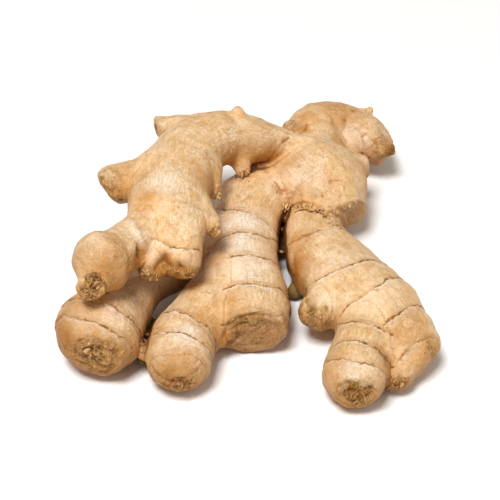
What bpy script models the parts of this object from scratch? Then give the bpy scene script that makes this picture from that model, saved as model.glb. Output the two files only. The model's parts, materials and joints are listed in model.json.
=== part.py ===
"""Ginger root: one whole fresh rhizome, a hand of fat fingers that grew as a single solid piece.

Run with: blender --background --python part.py
Blender's unit is the metre. The design values below are in millimetres, and MM turns them into metres.
The rhizome lies on the plane z = 0, with +Z up, +X to the right and the finger tips towards -Y.
"""

import math

import bmesh
import bpy
import numpy as np
from mathutils import Matrix, Vector, noise

MM = 0.001

# Fineness of the model, in mm, and the number of triangles that is left at the end.
BEAD_STEP = 2.5
SKIN_VOXEL = 1.0
PULL_ROUNDS = 6
TRIANGLES = 11000
REACH = 14
FAR = 99

# The relief of the skin, in mm: a groove at each ring, how far a ring wanders, the ledge of a torn scale, and lumps.
GROOVE = 0.45
GROOVE_WIDTH = 0.9
RING_WANDER = 1.3
LEDGE = 1.1
LUMP = 0.45
LUMP_SIZE = 11

# Each finger is (name, the finger it grows from, blend with it, end, stations).
# A station is (x, y, z, half width, half height) in mm, from the root of the finger to its tip.
# An end is "round", or (distance of a cut face past the last station, the way that face looks).
FINGERS = [
    ("crown", None, 0, (4.5, (0.35, -0.82, -0.45)), [
        (21, 61, 20, 13, 13), (29, 49, 21, 18, 17), (34, 42, 20, 16.5, 16), (37.5, 32, 18, 12, 13)]),
    ("crown_front", "crown", 8, "round", [
        (17, 51, 20, 12, 11), (23, 41, 19, 9.5, 10)]),
    ("crown_lobe", "crown", 4, "round", [
        (41, 55, 20, 7, 9), (48.5, 57, 20, 4, 7)]),
    ("crest", "crown", 5, (1.5, (0.8, -0.5, -0.3)), [
        (30, 62, 17, 12, 13), (28.5, 84, 18.5, 12.5, 14), (42, 89, 16, 12.5, 13.5), (54, 82, 16, 10.5, 11),
        (60.5, 76, 15, 7.5, 7)]),
    ("crest_heel", "crest", 8, "round", [
        (31, 66, 12, 11, 12.2), (34, 80, 12.2, 11, 12.8)]),
    ("crest_bud", "crest", 2, "round", [
        (31, 80, 26, 6, 6), (24.5, 77, 28.5, 5, 5), (18.5, 73, 29.5, 3.8, 3.8)]),
    ("crest_spur", "crest", 2, "round", [
        (50, 92, 23, 3, 3), (54, 93, 26, 1.6, 1.6)]),
    ("arm", "crown", 3, "round", [
        (24, 55, 26, 9, 9), (12, 58, 31, 8.6, 8.8), (0, 55, 36.5, 10.6, 10.3), (-13, 50, 41.2, 12.4, 11.3),
        (-25, 37, 43, 14, 12), (-31, 17, 43, 15.3, 12), (-32, -1, 43, 16, 12), (-32, -14, 41, 14, 10.5),
        (-31, -20, 39, 11, 8)]),
    ("arm_stub", "arm", 5, (4.6, (-0.8, -0.45, -0.4)), [
        (-36, 21, 42, 11, 10), (-45, 20, 42, 9.3, 9), (-55, 18, 41.5, 8.2, 8)]),
    ("arm_peg", "arm", 4, (1.5, (-0.9, -0.4, 0)), [
        (-23, 54, 42, 7.5, 7.5), (-32, 58.5, 40.5, 5.5, 5.5), (-39, 59, 40.5, 5, 5)]),
    ("arm_bump", "arm", 4, "round", [
        (-5, 54, 46, 4, 4), (-5, 56, 51, 2, 2)]),
    ("arm_bud_inner", "arm", 3, "round", [
        (-6, 50, 38, 6, 6), (-4.4, 45.5, 34, 4.7, 4.7), (-3, 42, 30.8, 3.3, 3.3)]),
    ("arm_bud_middle", "arm", 4, "round", [
        (-17, 28, 40, 6, 6), (-15.5, 23.5, 37.5, 4.5, 4.5), (-14, 20.5, 35, 3, 3)]),
    ("arm_bud_outer", "arm", 4, "round", [
        (-20, -2, 41, 7, 7), (-15, -6, 40, 4.2, 4.2), (-13.5, -8.5, 38.5, 2.6, 2.6)]),
    ("foot", "arm", 4, "round", [
        (-35, -6, 42.5, 10, 9.5), (-46, -22, 44, 8.7, 9), (-55, -34, 45, 11.7, 11.7)]),
    ("foot_tip", "foot", 2, "round", [
        (-57, -37, 44, 6.5, 6.5), (-59.3, -44.5, 41, 5.2, 5)]),
    ("toe_inner", "arm", 6, "round", [
        (-36, -19, 40, 7, 7), (-38, -29, 37, 4.8, 4.8)]),
    ("toe_outer", "arm", 6, "round", [
        (-27, -18, 39, 7.7, 7.2), (-25, -25.5, 36.5, 6, 5.5)]),
    ("middle", "crown", 8, (7.2, (0.05, -0.99, -0.1)), [
        (22, 53, 18, 13, 12), (9, 49, 16, 15.5, 12.5), (0, 33, 15, 14.3, 13), (-2.5, 16, 14, 14.2, 13),
        (-2, -4, 14, 13.8, 13), (1, -21, 14, 14.4, 13), (1, -33, 14, 14, 13)]),
    ("middle_shoulder", "middle", 6, "round", [
        (2, 41, 18, 8, 8.5), (-7, 41, 17, 7, 7)]),
    ("middle_side", "middle", 6, "round", [
        (-10, -12, 14, 13, 12), (-17, -28, 14, 12.4, 12.3), (-25, -42, 13, 12.7, 12.3), (-27, -53.5, 13, 12.7, 12.3)]),
    ("middle_bud", "middle_side", 2, "round", [
        (-37, -48, 12, 3.5, 5), (-41, -48, 11, 2.3, 4)]),
    ("middle_root", "middle_side", 2, "round", [
        (-36, -27, 6, 3.2, 3.2), (-40, -36, 5, 2.7, 2.7), (-42, -44, 3, 2.1, 2.1)]),
    ("left", "middle", 6, "round", [
        (-6, 20, 13, 9.2, 9), (-19, 6, 12, 8.2, 8), (-33, -4, 12, 7.6, 8), (-42, -15, 14.5, 8.3, 9),
        (-50.5, -29, 16, 12.8, 13.5), (-57.3, -41, 16.5, 17.4, 17)]),
    ("right", "crown", 5, "round", [
        (26, 40, 11, 9, 9), (29, 11, 13.5, 13.6, 12.3), (38.5, -12, 15, 17.3, 13.4), (51, -31, 15, 16.6, 13.4),
        (58.5, -45, 13, 12, 12)]),
    ("right_side", "right", 5, "round", [
        (22.5, 33, 12, 6, 7), (23, 18, 12, 7.3, 8), (23.4, 4, 11, 7.6, 8), (24.8, -6, 11, 5.7, 7)]),
    ("right_knob", "right", 3, "round", [
        (38, -13, 15, 12, 10), (32, -22, 15, 8.9, 8.7), (27, -29, 15, 7.8, 7.8)]),
    ("right_front", "right", 5, "round", [
        (48, -32, 14, 13, 12.5), (44, -46, 14, 11.5, 12.3), (39.5, -61, 12.4, 12.4, 12.8)]),
    ("right_toe", "right", 6, "round", [
        (58, -48, 11, 10, 9.5), (56, -56.5, 8, 6.6, 6.8)]),
    ("right_heel", "right", 5, "round", [
        (64, -42, 13, 8.5, 8.3), (67.3, -44.5, 12, 6, 6)]),
    ("right_nub", "right_side", 2, "round", [
        (21, -1, 6, 3.7, 3.7), (18, -5, 4, 2.9, 2.9)]),
]

# The rings of each finger: (how far the skin swells between them, their places along its centre line), in mm.
RINGS = {
    "arm": (0.4, (14, 75, 90, 104, 116)),
    "foot": (0, (22,)),
    "middle": (0.8, (34, 47.5, 61.5, 78, 91)),
    "middle_side": (0.7, (16, 31, 41.5, 50)),
    "left": (0.6, (42, 56, 70, 83, 91.5)),
    "right": (0.5, (30, 45, 62, 79, 94)),
    "right_front": (0.7, (16, 28, 37)),
}

# Scarred ends, dished a little inside a raised rim: (x, y, z, radius, depth) in mm.
SCARS = [
    (-57, -59, 15, 11, 1.0),
    (39.5, -73.5, 14, 6.6, 1.2),
    (-25, -64, 6, 7, 0.8),
    (26, -36, 14, 5.5, 0.6),
    (57, -61, 5, 5, 0.6),
    (-60, -49, 39.5, 4, 0.8),
]


def smooth_line(stations, step):
    """The stations joined by a smooth curve, as rows of (x, y, z, half width, half height) about one step apart."""
    rows = np.array(stations, float)
    padded = np.vstack([2 * rows[0] - rows[1], rows, 2 * rows[-1] - rows[-2]])
    line = []
    for i in range(len(rows) - 1):
        before, start, end, after = padded[i:i + 4]
        pieces = max(2, round(np.linalg.norm((end - start)[:3]) / step))
        for t in np.arange(pieces) / pieces:
            line.append(0.5 * (2 * start + (end - before) * t
                               + (2 * before - 5 * start + 4 * end - after) * t ** 2
                               + (3 * start - before - 3 * end + after) * t ** 3))
    line.append(rows[-1])
    return np.array(line)


class Finger:
    """One finger's centre line and sizes, and how far any point is from its surface."""

    def __init__(self, name, parent, blend, end, stations):
        self.name, self.parent, self.blend = name, parent, blend
        line = smooth_line(stations, BEAD_STEP)
        self.centre, self.half = line[:, :3], line[:, 3:]
        self.step = np.diff(self.centre, axis=0)
        self.length = np.linalg.norm(self.step, axis=1)
        self.along = self.step / self.length[:, None]
        side = np.cross(self.along, (0, 0, 1))
        self.side = side / np.linalg.norm(side, axis=1)[:, None]
        self.up = np.cross(self.side, self.along)
        self.arc = np.concatenate([[0], np.cumsum(self.length)])
        margin = self.half.max() + REACH
        self.low, self.high = self.centre.min(axis=0) - margin, self.centre.max(axis=0) + margin
        self.look = None
        if end != "round":
            self.look = np.array(end[1]) / np.linalg.norm(end[1])
            self.face = self.centre[-1] + end[0] * self.along[-1]

    def room(self, points):
        """How far points are behind the cut face, if there is one."""
        return np.full(len(points), FAR) if self.look is None else (self.face - points) @ self.look

    def distance(self, points):
        """(signed distance to the surface, distance along the centre line), in mm, for points near the finger."""
        gap, reached = np.full(len(points), float(FAR)), np.zeros(len(points))
        close = ((points > self.low) & (points < self.high)).all(axis=1)
        if close.any():
            gap[close], reached[close] = self.distance_close(points[close])
        return gap, reached

    def distance_close(self, points):
        away = points[:, None, :] - self.centre[None, :-1, :]
        share = np.clip((away * self.step).sum(axis=2) / self.length ** 2, 0, 1)
        k = ((away - share[:, :, None] * self.step) ** 2).sum(axis=2).argmin(axis=1)
        row = np.arange(len(points))
        t = share[row, k]
        offset = away[row, k] - t[:, None] * self.step[k]
        wide, high = (self.half[k] + t[:, None] * (self.half[k + 1] - self.half[k])).T
        ahead = (offset * self.along[k]).sum(axis=1)
        ratio = np.sqrt(((offset * self.side[k]).sum(axis=1) / wide) ** 2
                        + ((offset * self.up[k]).sum(axis=1) / high) ** 2
                        + (ahead / np.minimum(wide, high)) ** 2)
        gap = np.linalg.norm(offset, axis=1) * (1 - 1 / np.maximum(ratio, 1e-6))
        if self.look is not None:
            gap = -soft_min(-gap, self.room(points), 3)
        return gap, self.arc[k] + t * self.length[k] + np.where(t == 1, ahead, 0)


def soft_min(a, b, blend):
    """The smaller of two distances, rounded off where they are closer than blend."""
    if blend == 0:
        return np.minimum(a, b)
    near = np.maximum(blend - np.abs(a - b), 0) / blend
    return np.minimum(a, b) - near ** 2 * blend / 4


def measure(fingers, points):
    """The distance from the whole rhizome, and each finger's own distance and reach, one row per finger."""
    gaps, reached = map(np.array, zip(*(finger.distance(points) for finger in fingers)))
    place = {finger.name: i for i, finger in enumerate(fingers)}
    body = gaps[0]
    for i, finger in enumerate(fingers[1:], 1):
        body = np.minimum(body, soft_min(gaps[i], gaps[place[finger.parent]], finger.blend))
    return body, gaps, reached


def bead_strings(fingers):
    """A rough start: every finger as a string of overlapping beads, in one mesh object."""
    mesh = bmesh.new()
    for finger in fingers:
        last = len(finger.centre) - 1
        rooms = finger.room(finger.centre)
        for i, (centre, half, room) in enumerate(zip(finger.centre, finger.half, rooms)):
            k = min(i, last - 1)
            turn = Matrix([finger.side[k], finger.along[k], finger.up[k]]).transposed().to_4x4()
            size = Matrix.Diagonal((half[0], min(min(half), max(room, 1)), half[1], 1))
            bmesh.ops.create_icosphere(mesh, subdivisions=2, radius=MM,
                                       matrix=Matrix.Translation(Vector(centre) * MM) @ turn @ size)
    made = bpy.data.meshes.new("rhizome")
    mesh.to_mesh(made)
    mesh.free()
    body = bpy.data.objects.new("rhizome", made)
    bpy.context.scene.collection.objects.link(body)
    return body


def apply_modifiers(body):
    """Replaces the mesh by what its modifiers make of it."""
    graph = bpy.context.evaluated_depsgraph_get()
    made = bpy.data.meshes.new_from_object(body.evaluated_get(graph))
    body.modifiers.clear()
    body.data = made


def fuse(body):
    """Makes one closed skin of everything that overlaps."""
    remesh = body.modifiers.new("skin", "REMESH")
    remesh.mode = "VOXEL"
    remesh.voxel_size = SKIN_VOXEL * MM
    apply_modifiers(body)


def read_points(mesh):
    """The vertices and their normals as arrays, in mm."""
    count = len(mesh.vertices)
    points, normals = np.empty(count * 3), np.empty(count * 3)
    mesh.vertices.foreach_get("co", points)
    mesh.vertices.foreach_get("normal", normals)
    return points.reshape(-1, 3) / MM, normals.reshape(-1, 3)


def write_points(mesh, points):
    mesh.vertices.foreach_set("co", (points * MM).ravel())
    mesh.update()


def pull_to_surface(body, fingers, rounds):
    """Draws the skin onto the blended surface of the fingers."""
    for _ in range(rounds):
        points, normals = read_points(body.data)
        gap = measure(fingers, points)[0]
        write_points(body.data, points - normals * np.clip(gap, -2, 2)[:, None])


def lumps(points, size, seed):
    """Smooth noise between about -1 and 1 at each point, with lumps of the given size in mm."""
    shift = Vector((seed, 3.7 * seed, -2.1 * seed))
    return np.array([noise.noise(Vector(point) / size + shift) for point in points])


def ring_relief(names, gaps, reached, wander):
    """Swells between rings and grooves at them, in mm, fading where two fingers join."""
    nearest = gaps.argmin(axis=0)
    two = np.partition(gaps, 1, axis=0)[:2]
    clear = np.clip((two[1] - two[0]) / 4, 0, 1)
    height = np.zeros(len(nearest))
    for i, name in enumerate(names):
        if name not in RINGS:
            continue
        mine = nearest == i
        s = reached[i][mine] + wander[mine]
        here = np.zeros(len(s))
        swell, rings = RINGS[name]
        for ring in rings:
            here -= GROOVE * np.exp(-((s - ring) / GROOVE_WIDTH) ** 2)
        for first, last in zip(rings[:-1], rings[1:]):
            share = np.clip((s - first) / (last - first), 0, 1)
            here += swell * np.sin(math.pi * share ** 0.75) ** 0.8
        height[mine] = here
    return height * clear


def torn_scale_relief(names, gaps):
    """The ledge, in mm, where the crown's old scale leaf ends above the root of the right finger."""
    crown = np.minimum(gaps[names.index("crown")], gaps[names.index("crown_front")])
    right = np.minimum(gaps[names.index("right")], gaps[names.index("right_side")])
    past = crown - right
    on_seam = np.clip((4 - np.maximum(crown, right)) / 2, 0, 1)
    return on_seam * (LEDGE * np.exp(-((past + 1.6) / 1.7) ** 2) - 0.7 * LEDGE * np.exp(-((past - 0.9) / 1.0) ** 2))


def scar_relief(points):
    """Dished scars with a raised rim, in mm."""
    height = np.zeros(len(points))
    for x, y, z, radius, depth in SCARS:
        out = np.linalg.norm(points - (x, y, z), axis=1) / radius
        height -= depth * np.clip(1.3 - 1.3 * out ** 4, 0, 1)
        height += 0.4 * depth * np.exp(-((out - 1.08) / 0.16) ** 2)
    return height


def add_relief(body, fingers):
    """Moves the skin in and out for rings, scars and lumps."""
    points, normals = read_points(body.data)
    _, gaps, reached = measure(fingers, points)
    wander = RING_WANDER * lumps(points, 7, 5)
    names = [finger.name for finger in fingers]
    height = ring_relief(names, gaps, reached, wander)
    height += torn_scale_relief(names, gaps)
    height += scar_relief(points)
    height += LUMP * lumps(points, LUMP_SIZE, 1) + 0.4 * LUMP * lumps(points, LUMP_SIZE / 2.4, 2)
    write_points(body.data, points + normals * height[:, None])


def simplify(body, triangles):
    """Brings the skin down to about the given number of triangles, finest where it bends most."""
    faces = sum(len(face.vertices) - 2 for face in body.data.polygons)
    thin = body.modifiers.new("fewer faces", "DECIMATE")
    thin.ratio = triangles / faces
    apply_modifiers(body)


def keep_largest(body):
    """Drops the crumbs that are not joined to the rhizome."""
    mesh = bmesh.new()
    mesh.from_mesh(body.data)
    left, groups = set(mesh.verts), []
    while left:
        group, edge = set(), [left.pop()]
        while edge:
            vertex = edge.pop()
            group.add(vertex)
            near = {link.other_vert(vertex) for link in vertex.link_edges} & left
            left -= near
            edge += near
        groups.append(group)
    largest = max(groups, key=len)
    bmesh.ops.delete(mesh, geom=[vertex for vertex in mesh.verts if vertex not in largest], context="VERTS")
    mesh.to_mesh(body.data)
    mesh.free()


def cut_resting_spots(body):
    """Takes off what lies below the ground, which leaves small flat spots to rest on."""
    mesh = bmesh.new()
    mesh.from_mesh(body.data)
    geometry = mesh.verts[:] + mesh.edges[:] + mesh.faces[:]
    cut = bmesh.ops.bisect_plane(mesh, geom=geometry, plane_co=(0, 0, 0), plane_no=(0, 0, 1),
                                 clear_inner=True, dist=1e-7)
    edges = [item for item in cut["geom_cut"] if isinstance(item, bmesh.types.BMEdge)]
    bmesh.ops.holes_fill(mesh, edges=edges, sides=0)
    bmesh.ops.triangulate(mesh, faces=mesh.faces[:])
    bmesh.ops.recalc_face_normals(mesh, faces=mesh.faces[:])
    mesh.to_mesh(body.data)
    mesh.free()


def centre_on_origin(body):
    """Brings the middle of the rhizome's outline box over the origin, in x and y."""
    points, _ = read_points(body.data)
    low, high = points.min(axis=0), points.max(axis=0)
    middle = (low + high) / 2
    write_points(body.data, points - (middle[0], middle[1], 0))
    print("middle of the box before centring, mm:", middle[:2].round(2), "size:", (high - low).round(1))


def ginger_skin():
    """A plain pale brown skin."""
    skin = bpy.data.materials.new("ginger_skin")
    skin.use_nodes = True
    shader = skin.node_tree.nodes["Principled BSDF"]
    shader.inputs["Base Color"].default_value = (0.62, 0.42, 0.22, 1)
    shader.inputs["Roughness"].default_value = 0.6
    return skin


def main():
    for old in list(bpy.data.objects):
        bpy.data.objects.remove(old)
    fingers = [Finger(*row) for row in FINGERS]
    body = bead_strings(fingers)
    fuse(body)
    pull_to_surface(body, fingers, PULL_ROUNDS)
    fuse(body)
    keep_largest(body)
    pull_to_surface(body, fingers, 2)
    add_relief(body, fingers)
    simplify(body, TRIANGLES)
    cut_resting_spots(body)
    centre_on_origin(body)
    body.data.materials.append(ginger_skin())


main()
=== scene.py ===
# %% [markdown]
# # A fresh ginger root
#
# Ginger is a rhizome, a swollen stem that creeps through the soil and forks into fat fingers. This lesson
# dresses a plain solid of one in its real skin: ring scars, wrinkles, torn ends, pits and root stumps.
# The solid comes ready made and fixed in place. Everything here is measured from it, in metres, and the
# design values are written in millimetres, which `MM` turns into metres.

import json
import math

import bmesh
import bpy
import numpy as np
from mathutils import Matrix, Vector, noise
from mathutils.bvhtree import BVHTree

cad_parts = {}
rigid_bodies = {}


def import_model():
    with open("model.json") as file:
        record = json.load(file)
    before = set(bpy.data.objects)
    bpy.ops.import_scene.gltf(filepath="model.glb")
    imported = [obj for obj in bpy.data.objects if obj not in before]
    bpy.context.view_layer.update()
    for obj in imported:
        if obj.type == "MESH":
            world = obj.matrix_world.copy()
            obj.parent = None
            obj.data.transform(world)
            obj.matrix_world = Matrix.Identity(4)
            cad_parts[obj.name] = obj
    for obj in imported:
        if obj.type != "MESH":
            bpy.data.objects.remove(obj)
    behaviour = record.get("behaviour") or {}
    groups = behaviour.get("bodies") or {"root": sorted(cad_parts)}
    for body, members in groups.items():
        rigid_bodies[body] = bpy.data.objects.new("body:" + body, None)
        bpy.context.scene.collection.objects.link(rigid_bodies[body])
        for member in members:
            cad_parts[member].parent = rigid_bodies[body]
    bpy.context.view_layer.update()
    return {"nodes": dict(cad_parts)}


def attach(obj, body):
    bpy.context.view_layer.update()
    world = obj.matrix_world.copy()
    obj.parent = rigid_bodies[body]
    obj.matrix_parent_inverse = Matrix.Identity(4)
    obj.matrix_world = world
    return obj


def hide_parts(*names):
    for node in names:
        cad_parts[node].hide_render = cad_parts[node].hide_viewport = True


MM = 0.001
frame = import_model()

# %% [markdown]
# ## The camera
#
# The camera could be fitted by eye, but a picture of a thing of known size gives it by sums: how far down it
# looks, how far off it stands and how wide its picture is for that distance. Every mark on the skin is later
# aimed through this camera, so it comes first.

# %% Place the camera
PICTURE_SIDE = 500
LOOK_DOWN = math.radians(40)
STAND_OFF = 600 * MM
PICTURE_SHARE = 0.336
AIM = Vector((0.46, -14.57, 22)) * MM
SENSOR = 36

look = Vector((0, math.cos(LOOK_DOWN), -math.sin(LOOK_DOWN)))
picture_up = Vector((0, math.sin(LOOK_DOWN), math.cos(LOOK_DOWN)))
eye = AIM - look * STAND_OFF
bpy.ops.object.camera_add(location=eye, rotation=(math.pi / 2 - LOOK_DOWN, 0, 0))
camera = bpy.context.object
camera.name = "camera"
camera.data.sensor_width = SENSOR
camera.data.lens = SENSOR / PICTURE_SHARE
camera.data.clip_start = 0.01
bpy.context.scene.camera = camera
print("lens", round(camera.data.lens, 1), "mm, eye at", [round(v, 3) for v in eye])

# %% [markdown]
# ## Floor and light
#
# A pale skin shows its relief best in light that is broad but comes from one side. A bright sky on its own
# would flatten the rings, and one lamp on its own would turn the hollows black. So there is a warm, weak sky,
# a large soft lamp high above and a little to the left, and a weak one to the right that lifts the shadows.

# %% Lay the floor
FLOOR_SIDE = 6.0
bpy.ops.mesh.primitive_plane_add(size=FLOOR_SIDE)
floor = bpy.context.object
floor.name = "floor"
paper = bpy.data.materials.new("white_paper")
paper.use_nodes = True
paper_shader = paper.node_tree.nodes["Principled BSDF"]
paper_shader.inputs["Base Color"].default_value = (0.92, 0.92, 0.92, 1)
paper_shader.inputs["Roughness"].default_value = 0.9
floor.data.materials.append(paper)
print("floor", FLOOR_SIDE, "m across")


# %% Hang the lamps
def soft_lamp(name, place, power, side):
    """A square lamp that looks at the middle of the root. Its place and side are in m, its power in watts."""
    bpy.ops.object.light_add(type="AREA", location=place)
    lamp = bpy.context.object
    lamp.name = name
    lamp.data.energy = power
    lamp.data.size = side
    lamp.rotation_euler = (AIM - Vector(place)).to_track_quat("-Z", "Y").to_euler()


soft_lamp("key_lamp", place=(-0.25, -0.5, 1.3), power=20.8, side=0.45)
soft_lamp("fill_lamp", place=(0.9, -0.5, 0.7), power=1.5, side=0.9)
sky = bpy.data.worlds.new("warm_sky")
sky.use_nodes = True
glow = sky.node_tree.nodes["Background"]
glow.inputs["Color"].default_value = (1, 0.93, 0.82, 1)
glow.inputs["Strength"].default_value = 0.33
bpy.context.scene.world = sky
bpy.context.scene.view_settings.view_transform = "Standard"

# %% [markdown]
# ## The fingers, written down
#
# The solid has only some eleven thousand flat faces, so its skin is too coarse to carry fine marks. The skin
# could be subdivided and smoothed, but that shrinks the narrow buds. The fingers the root grew from are few,
# so they are written down here once more, as centre lines with a half width and a half height, and the fine
# skin is drawn onto them. They also say which way each finger grows, which the grain of the skin follows.

# %% The table of fingers
# Each finger is (name, the finger it grows from, blend with it, end, stations).
# A station is (x, y, z, half width, half height) in mm, from the root of the finger to its tip.
# An end is "round", or (distance of a cut face past the last station, the way that face looks).
FINGERS = [
    ("crown", None, 0, (4.5, (0.35, -0.82, -0.45)), [
        (21, 61, 20, 13, 13), (29, 49, 21, 18, 17), (34, 42, 20, 16.5, 16), (37.5, 32, 18, 12, 13)]),
    ("crown_front", "crown", 8, "round", [
        (17, 51, 20, 12, 11), (23, 41, 19, 9.5, 10)]),
    ("crown_lobe", "crown", 4, "round", [
        (41, 55, 20, 7, 9), (48.5, 57, 20, 4, 7)]),
    ("crest", "crown", 5, (1.5, (0.8, -0.5, -0.3)), [
        (30, 62, 17, 12, 13), (28.5, 84, 18.5, 12.5, 14), (42, 89, 16, 12.5, 13.5), (54, 82, 16, 10.5, 11),
        (60.5, 76, 15, 7.5, 7)]),
    ("crest_heel", "crest", 8, "round", [
        (31, 66, 12, 11, 12.2), (34, 80, 12.2, 11, 12.8)]),
    ("crest_bud", "crest", 2, "round", [
        (31, 80, 26, 6, 6), (24.5, 77, 28.5, 5, 5), (18.5, 73, 29.5, 3.8, 3.8)]),
    ("crest_spur", "crest", 2, "round", [
        (50, 92, 23, 3, 3), (54, 93, 26, 1.6, 1.6)]),
    ("arm", "crown", 3, "round", [
        (24, 55, 26, 9, 9), (12, 58, 31, 8.6, 8.8), (0, 55, 36.5, 10.6, 10.3), (-13, 50, 41.2, 12.4, 11.3),
        (-25, 37, 43, 14, 12), (-31, 17, 43, 15.3, 12), (-32, -1, 43, 16, 12), (-32, -14, 41, 14, 10.5),
        (-31, -20, 39, 11, 8)]),
    ("arm_stub", "arm", 5, (4.6, (-0.8, -0.45, -0.4)), [
        (-36, 21, 42, 11, 10), (-45, 20, 42, 9.3, 9), (-55, 18, 41.5, 8.2, 8)]),
    ("arm_peg", "arm", 4, (1.5, (-0.9, -0.4, 0)), [
        (-23, 54, 42, 7.5, 7.5), (-32, 58.5, 40.5, 5.5, 5.5), (-39, 59, 40.5, 5, 5)]),
    ("arm_bump", "arm", 4, "round", [
        (-5, 54, 46, 4, 4), (-5, 56, 51, 2, 2)]),
    ("arm_bud_inner", "arm", 3, "round", [
        (-6, 50, 38, 6, 6), (-4.4, 45.5, 34, 4.7, 4.7), (-3, 42, 30.8, 3.3, 3.3)]),
    ("arm_bud_middle", "arm", 4, "round", [
        (-17, 28, 40, 6, 6), (-15.5, 23.5, 37.5, 4.5, 4.5), (-14, 20.5, 35, 3, 3)]),
    ("arm_bud_outer", "arm", 4, "round", [
        (-20, -2, 41, 7, 7), (-15, -6, 40, 4.2, 4.2), (-13.5, -8.5, 38.5, 2.6, 2.6)]),
    ("foot", "arm", 4, "round", [
        (-35, -6, 42.5, 10, 9.5), (-46, -22, 44, 8.7, 9), (-55, -34, 45, 11.7, 11.7)]),
    ("foot_tip", "foot", 2, "round", [
        (-57, -37, 44, 6.5, 6.5), (-59.3, -44.5, 41, 5.2, 5)]),
    ("toe_inner", "arm", 6, "round", [
        (-36, -19, 40, 7, 7), (-38, -29, 37, 4.8, 4.8)]),
    ("toe_outer", "arm", 6, "round", [
        (-27, -18, 39, 7.7, 7.2), (-25, -25.5, 36.5, 6, 5.5)]),
    ("middle", "crown", 8, (7.2, (0.05, -0.99, -0.1)), [
        (22, 53, 18, 13, 12), (9, 49, 16, 15.5, 12.5), (0, 33, 15, 14.3, 13), (-2.5, 16, 14, 14.2, 13),
        (-2, -4, 14, 13.8, 13), (1, -21, 14, 14.4, 13), (1, -33, 14, 14, 13)]),
    ("middle_shoulder", "middle", 6, "round", [
        (2, 41, 18, 8, 8.5), (-7, 41, 17, 7, 7)]),
    ("middle_side", "middle", 6, "round", [
        (-10, -12, 14, 13, 12), (-17, -28, 14, 12.4, 12.3), (-25, -42, 13, 12.7, 12.3),
        (-27, -53.5, 13, 12.7, 12.3)]),
    ("middle_bud", "middle_side", 2, "round", [
        (-37, -48, 12, 3.5, 5), (-41, -48, 11, 2.3, 4)]),
    ("middle_root", "middle_side", 2, "round", [
        (-36, -27, 6, 3.2, 3.2), (-40, -36, 5, 2.7, 2.7), (-42, -44, 3, 2.1, 2.1)]),
    ("left", "middle", 6, "round", [
        (-6, 20, 13, 9.2, 9), (-19, 6, 12, 8.2, 8), (-33, -4, 12, 7.6, 8), (-42, -15, 14.5, 8.3, 9),
        (-50.5, -29, 16, 12.8, 13.5), (-57.3, -41, 16.5, 17.4, 17)]),
    ("right", "crown", 5, "round", [
        (26, 40, 11, 9, 9), (29, 11, 13.5, 13.6, 12.3), (38.5, -12, 15, 17.3, 13.4),
        (51, -31, 15, 16.6, 13.4), (58.5, -45, 13, 12, 12)]),
    ("right_side", "right", 5, "round", [
        (22.5, 33, 12, 6, 7), (23, 18, 12, 7.3, 8), (23.4, 4, 11, 7.6, 8), (24.8, -6, 11, 5.7, 7)]),
    ("right_knob", "right", 3, "round", [
        (38, -13, 15, 12, 10), (32, -22, 15, 8.9, 8.7), (27, -29, 15, 7.8, 7.8)]),
    ("right_front", "right", 5, "round", [
        (48, -32, 14, 13, 12.5), (44, -46, 14, 11.5, 12.3), (39.5, -61, 12.4, 12.4, 12.8)]),
    ("right_toe", "right", 6, "round", [
        (58, -48, 11, 10, 9.5), (56, -56.5, 8, 6.6, 6.8)]),
    ("right_heel", "right", 5, "round", [
        (64, -42, 13, 8.5, 8.3), (67.3, -44.5, 12, 6, 6)]),
    ("right_nub", "right_side", 2, "round", [
        (21, -1, 6, 3.7, 3.7), (18, -5, 4, 2.9, 2.9)]),
]
# The solid was centred on the origin after it was grown, so the table is moved by as much, in mm.
SOLID_SHIFT = np.array((0.46, -14.57, 0))
print(len(FINGERS), "fingers and buds")

# %% [markdown]
# ## How far a point is from a finger
#
# A finger could be a tube of rings of points, but then joining two takes welding. Here a finger is a rule
# that gives the distance from its surface at any point, and two rules melt into one another by taking the
# smaller distance, rounded off. The same sums give the distance along the finger and the place across it.


# %% Smooth lines and soft joins
def smooth_line(stations, step):
    """The stations joined by a smooth curve, as rows of the same five numbers about one step apart."""
    rows = np.array(stations, float)
    padded = np.vstack([2 * rows[0] - rows[1], rows, 2 * rows[-1] - rows[-2]])
    line = []
    for i in range(len(rows) - 1):
        before, start, end, after = padded[i:i + 4]
        pieces = max(2, round(np.linalg.norm((end - start)[:3]) / step))
        for t in np.arange(pieces) / pieces:
            line.append(0.5 * (2 * start + (end - before) * t
                               + (2 * before - 5 * start + 4 * end - after) * t ** 2
                               + (3 * start - before - 3 * end + after) * t ** 3))
    line.append(rows[-1])
    return np.array(line)


def soft_min(a, b, blend):
    """The smaller of two distances, rounded off where they are closer than blend."""
    if blend == 0:
        return np.minimum(a, b)
    near = np.maximum(blend - np.abs(a - b), 0) / blend
    return np.minimum(a, b) - near ** 2 * blend / 4


print("3 and 4 joined over 2 make", soft_min(3, 4, 2))

# %% Distances from one finger
# All in mm. A finger is measured at points no farther than REACH from it, and FAR stands for the rest.
LINE_STEP = 2.5
REACH = 14
FAR = 99
# How far the rim of a cut face is rounded.
CRISP_RIM, SOFT_RIM = 1.6, 4.0
CRISP_CUTS = ("crown", "middle")


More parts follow.
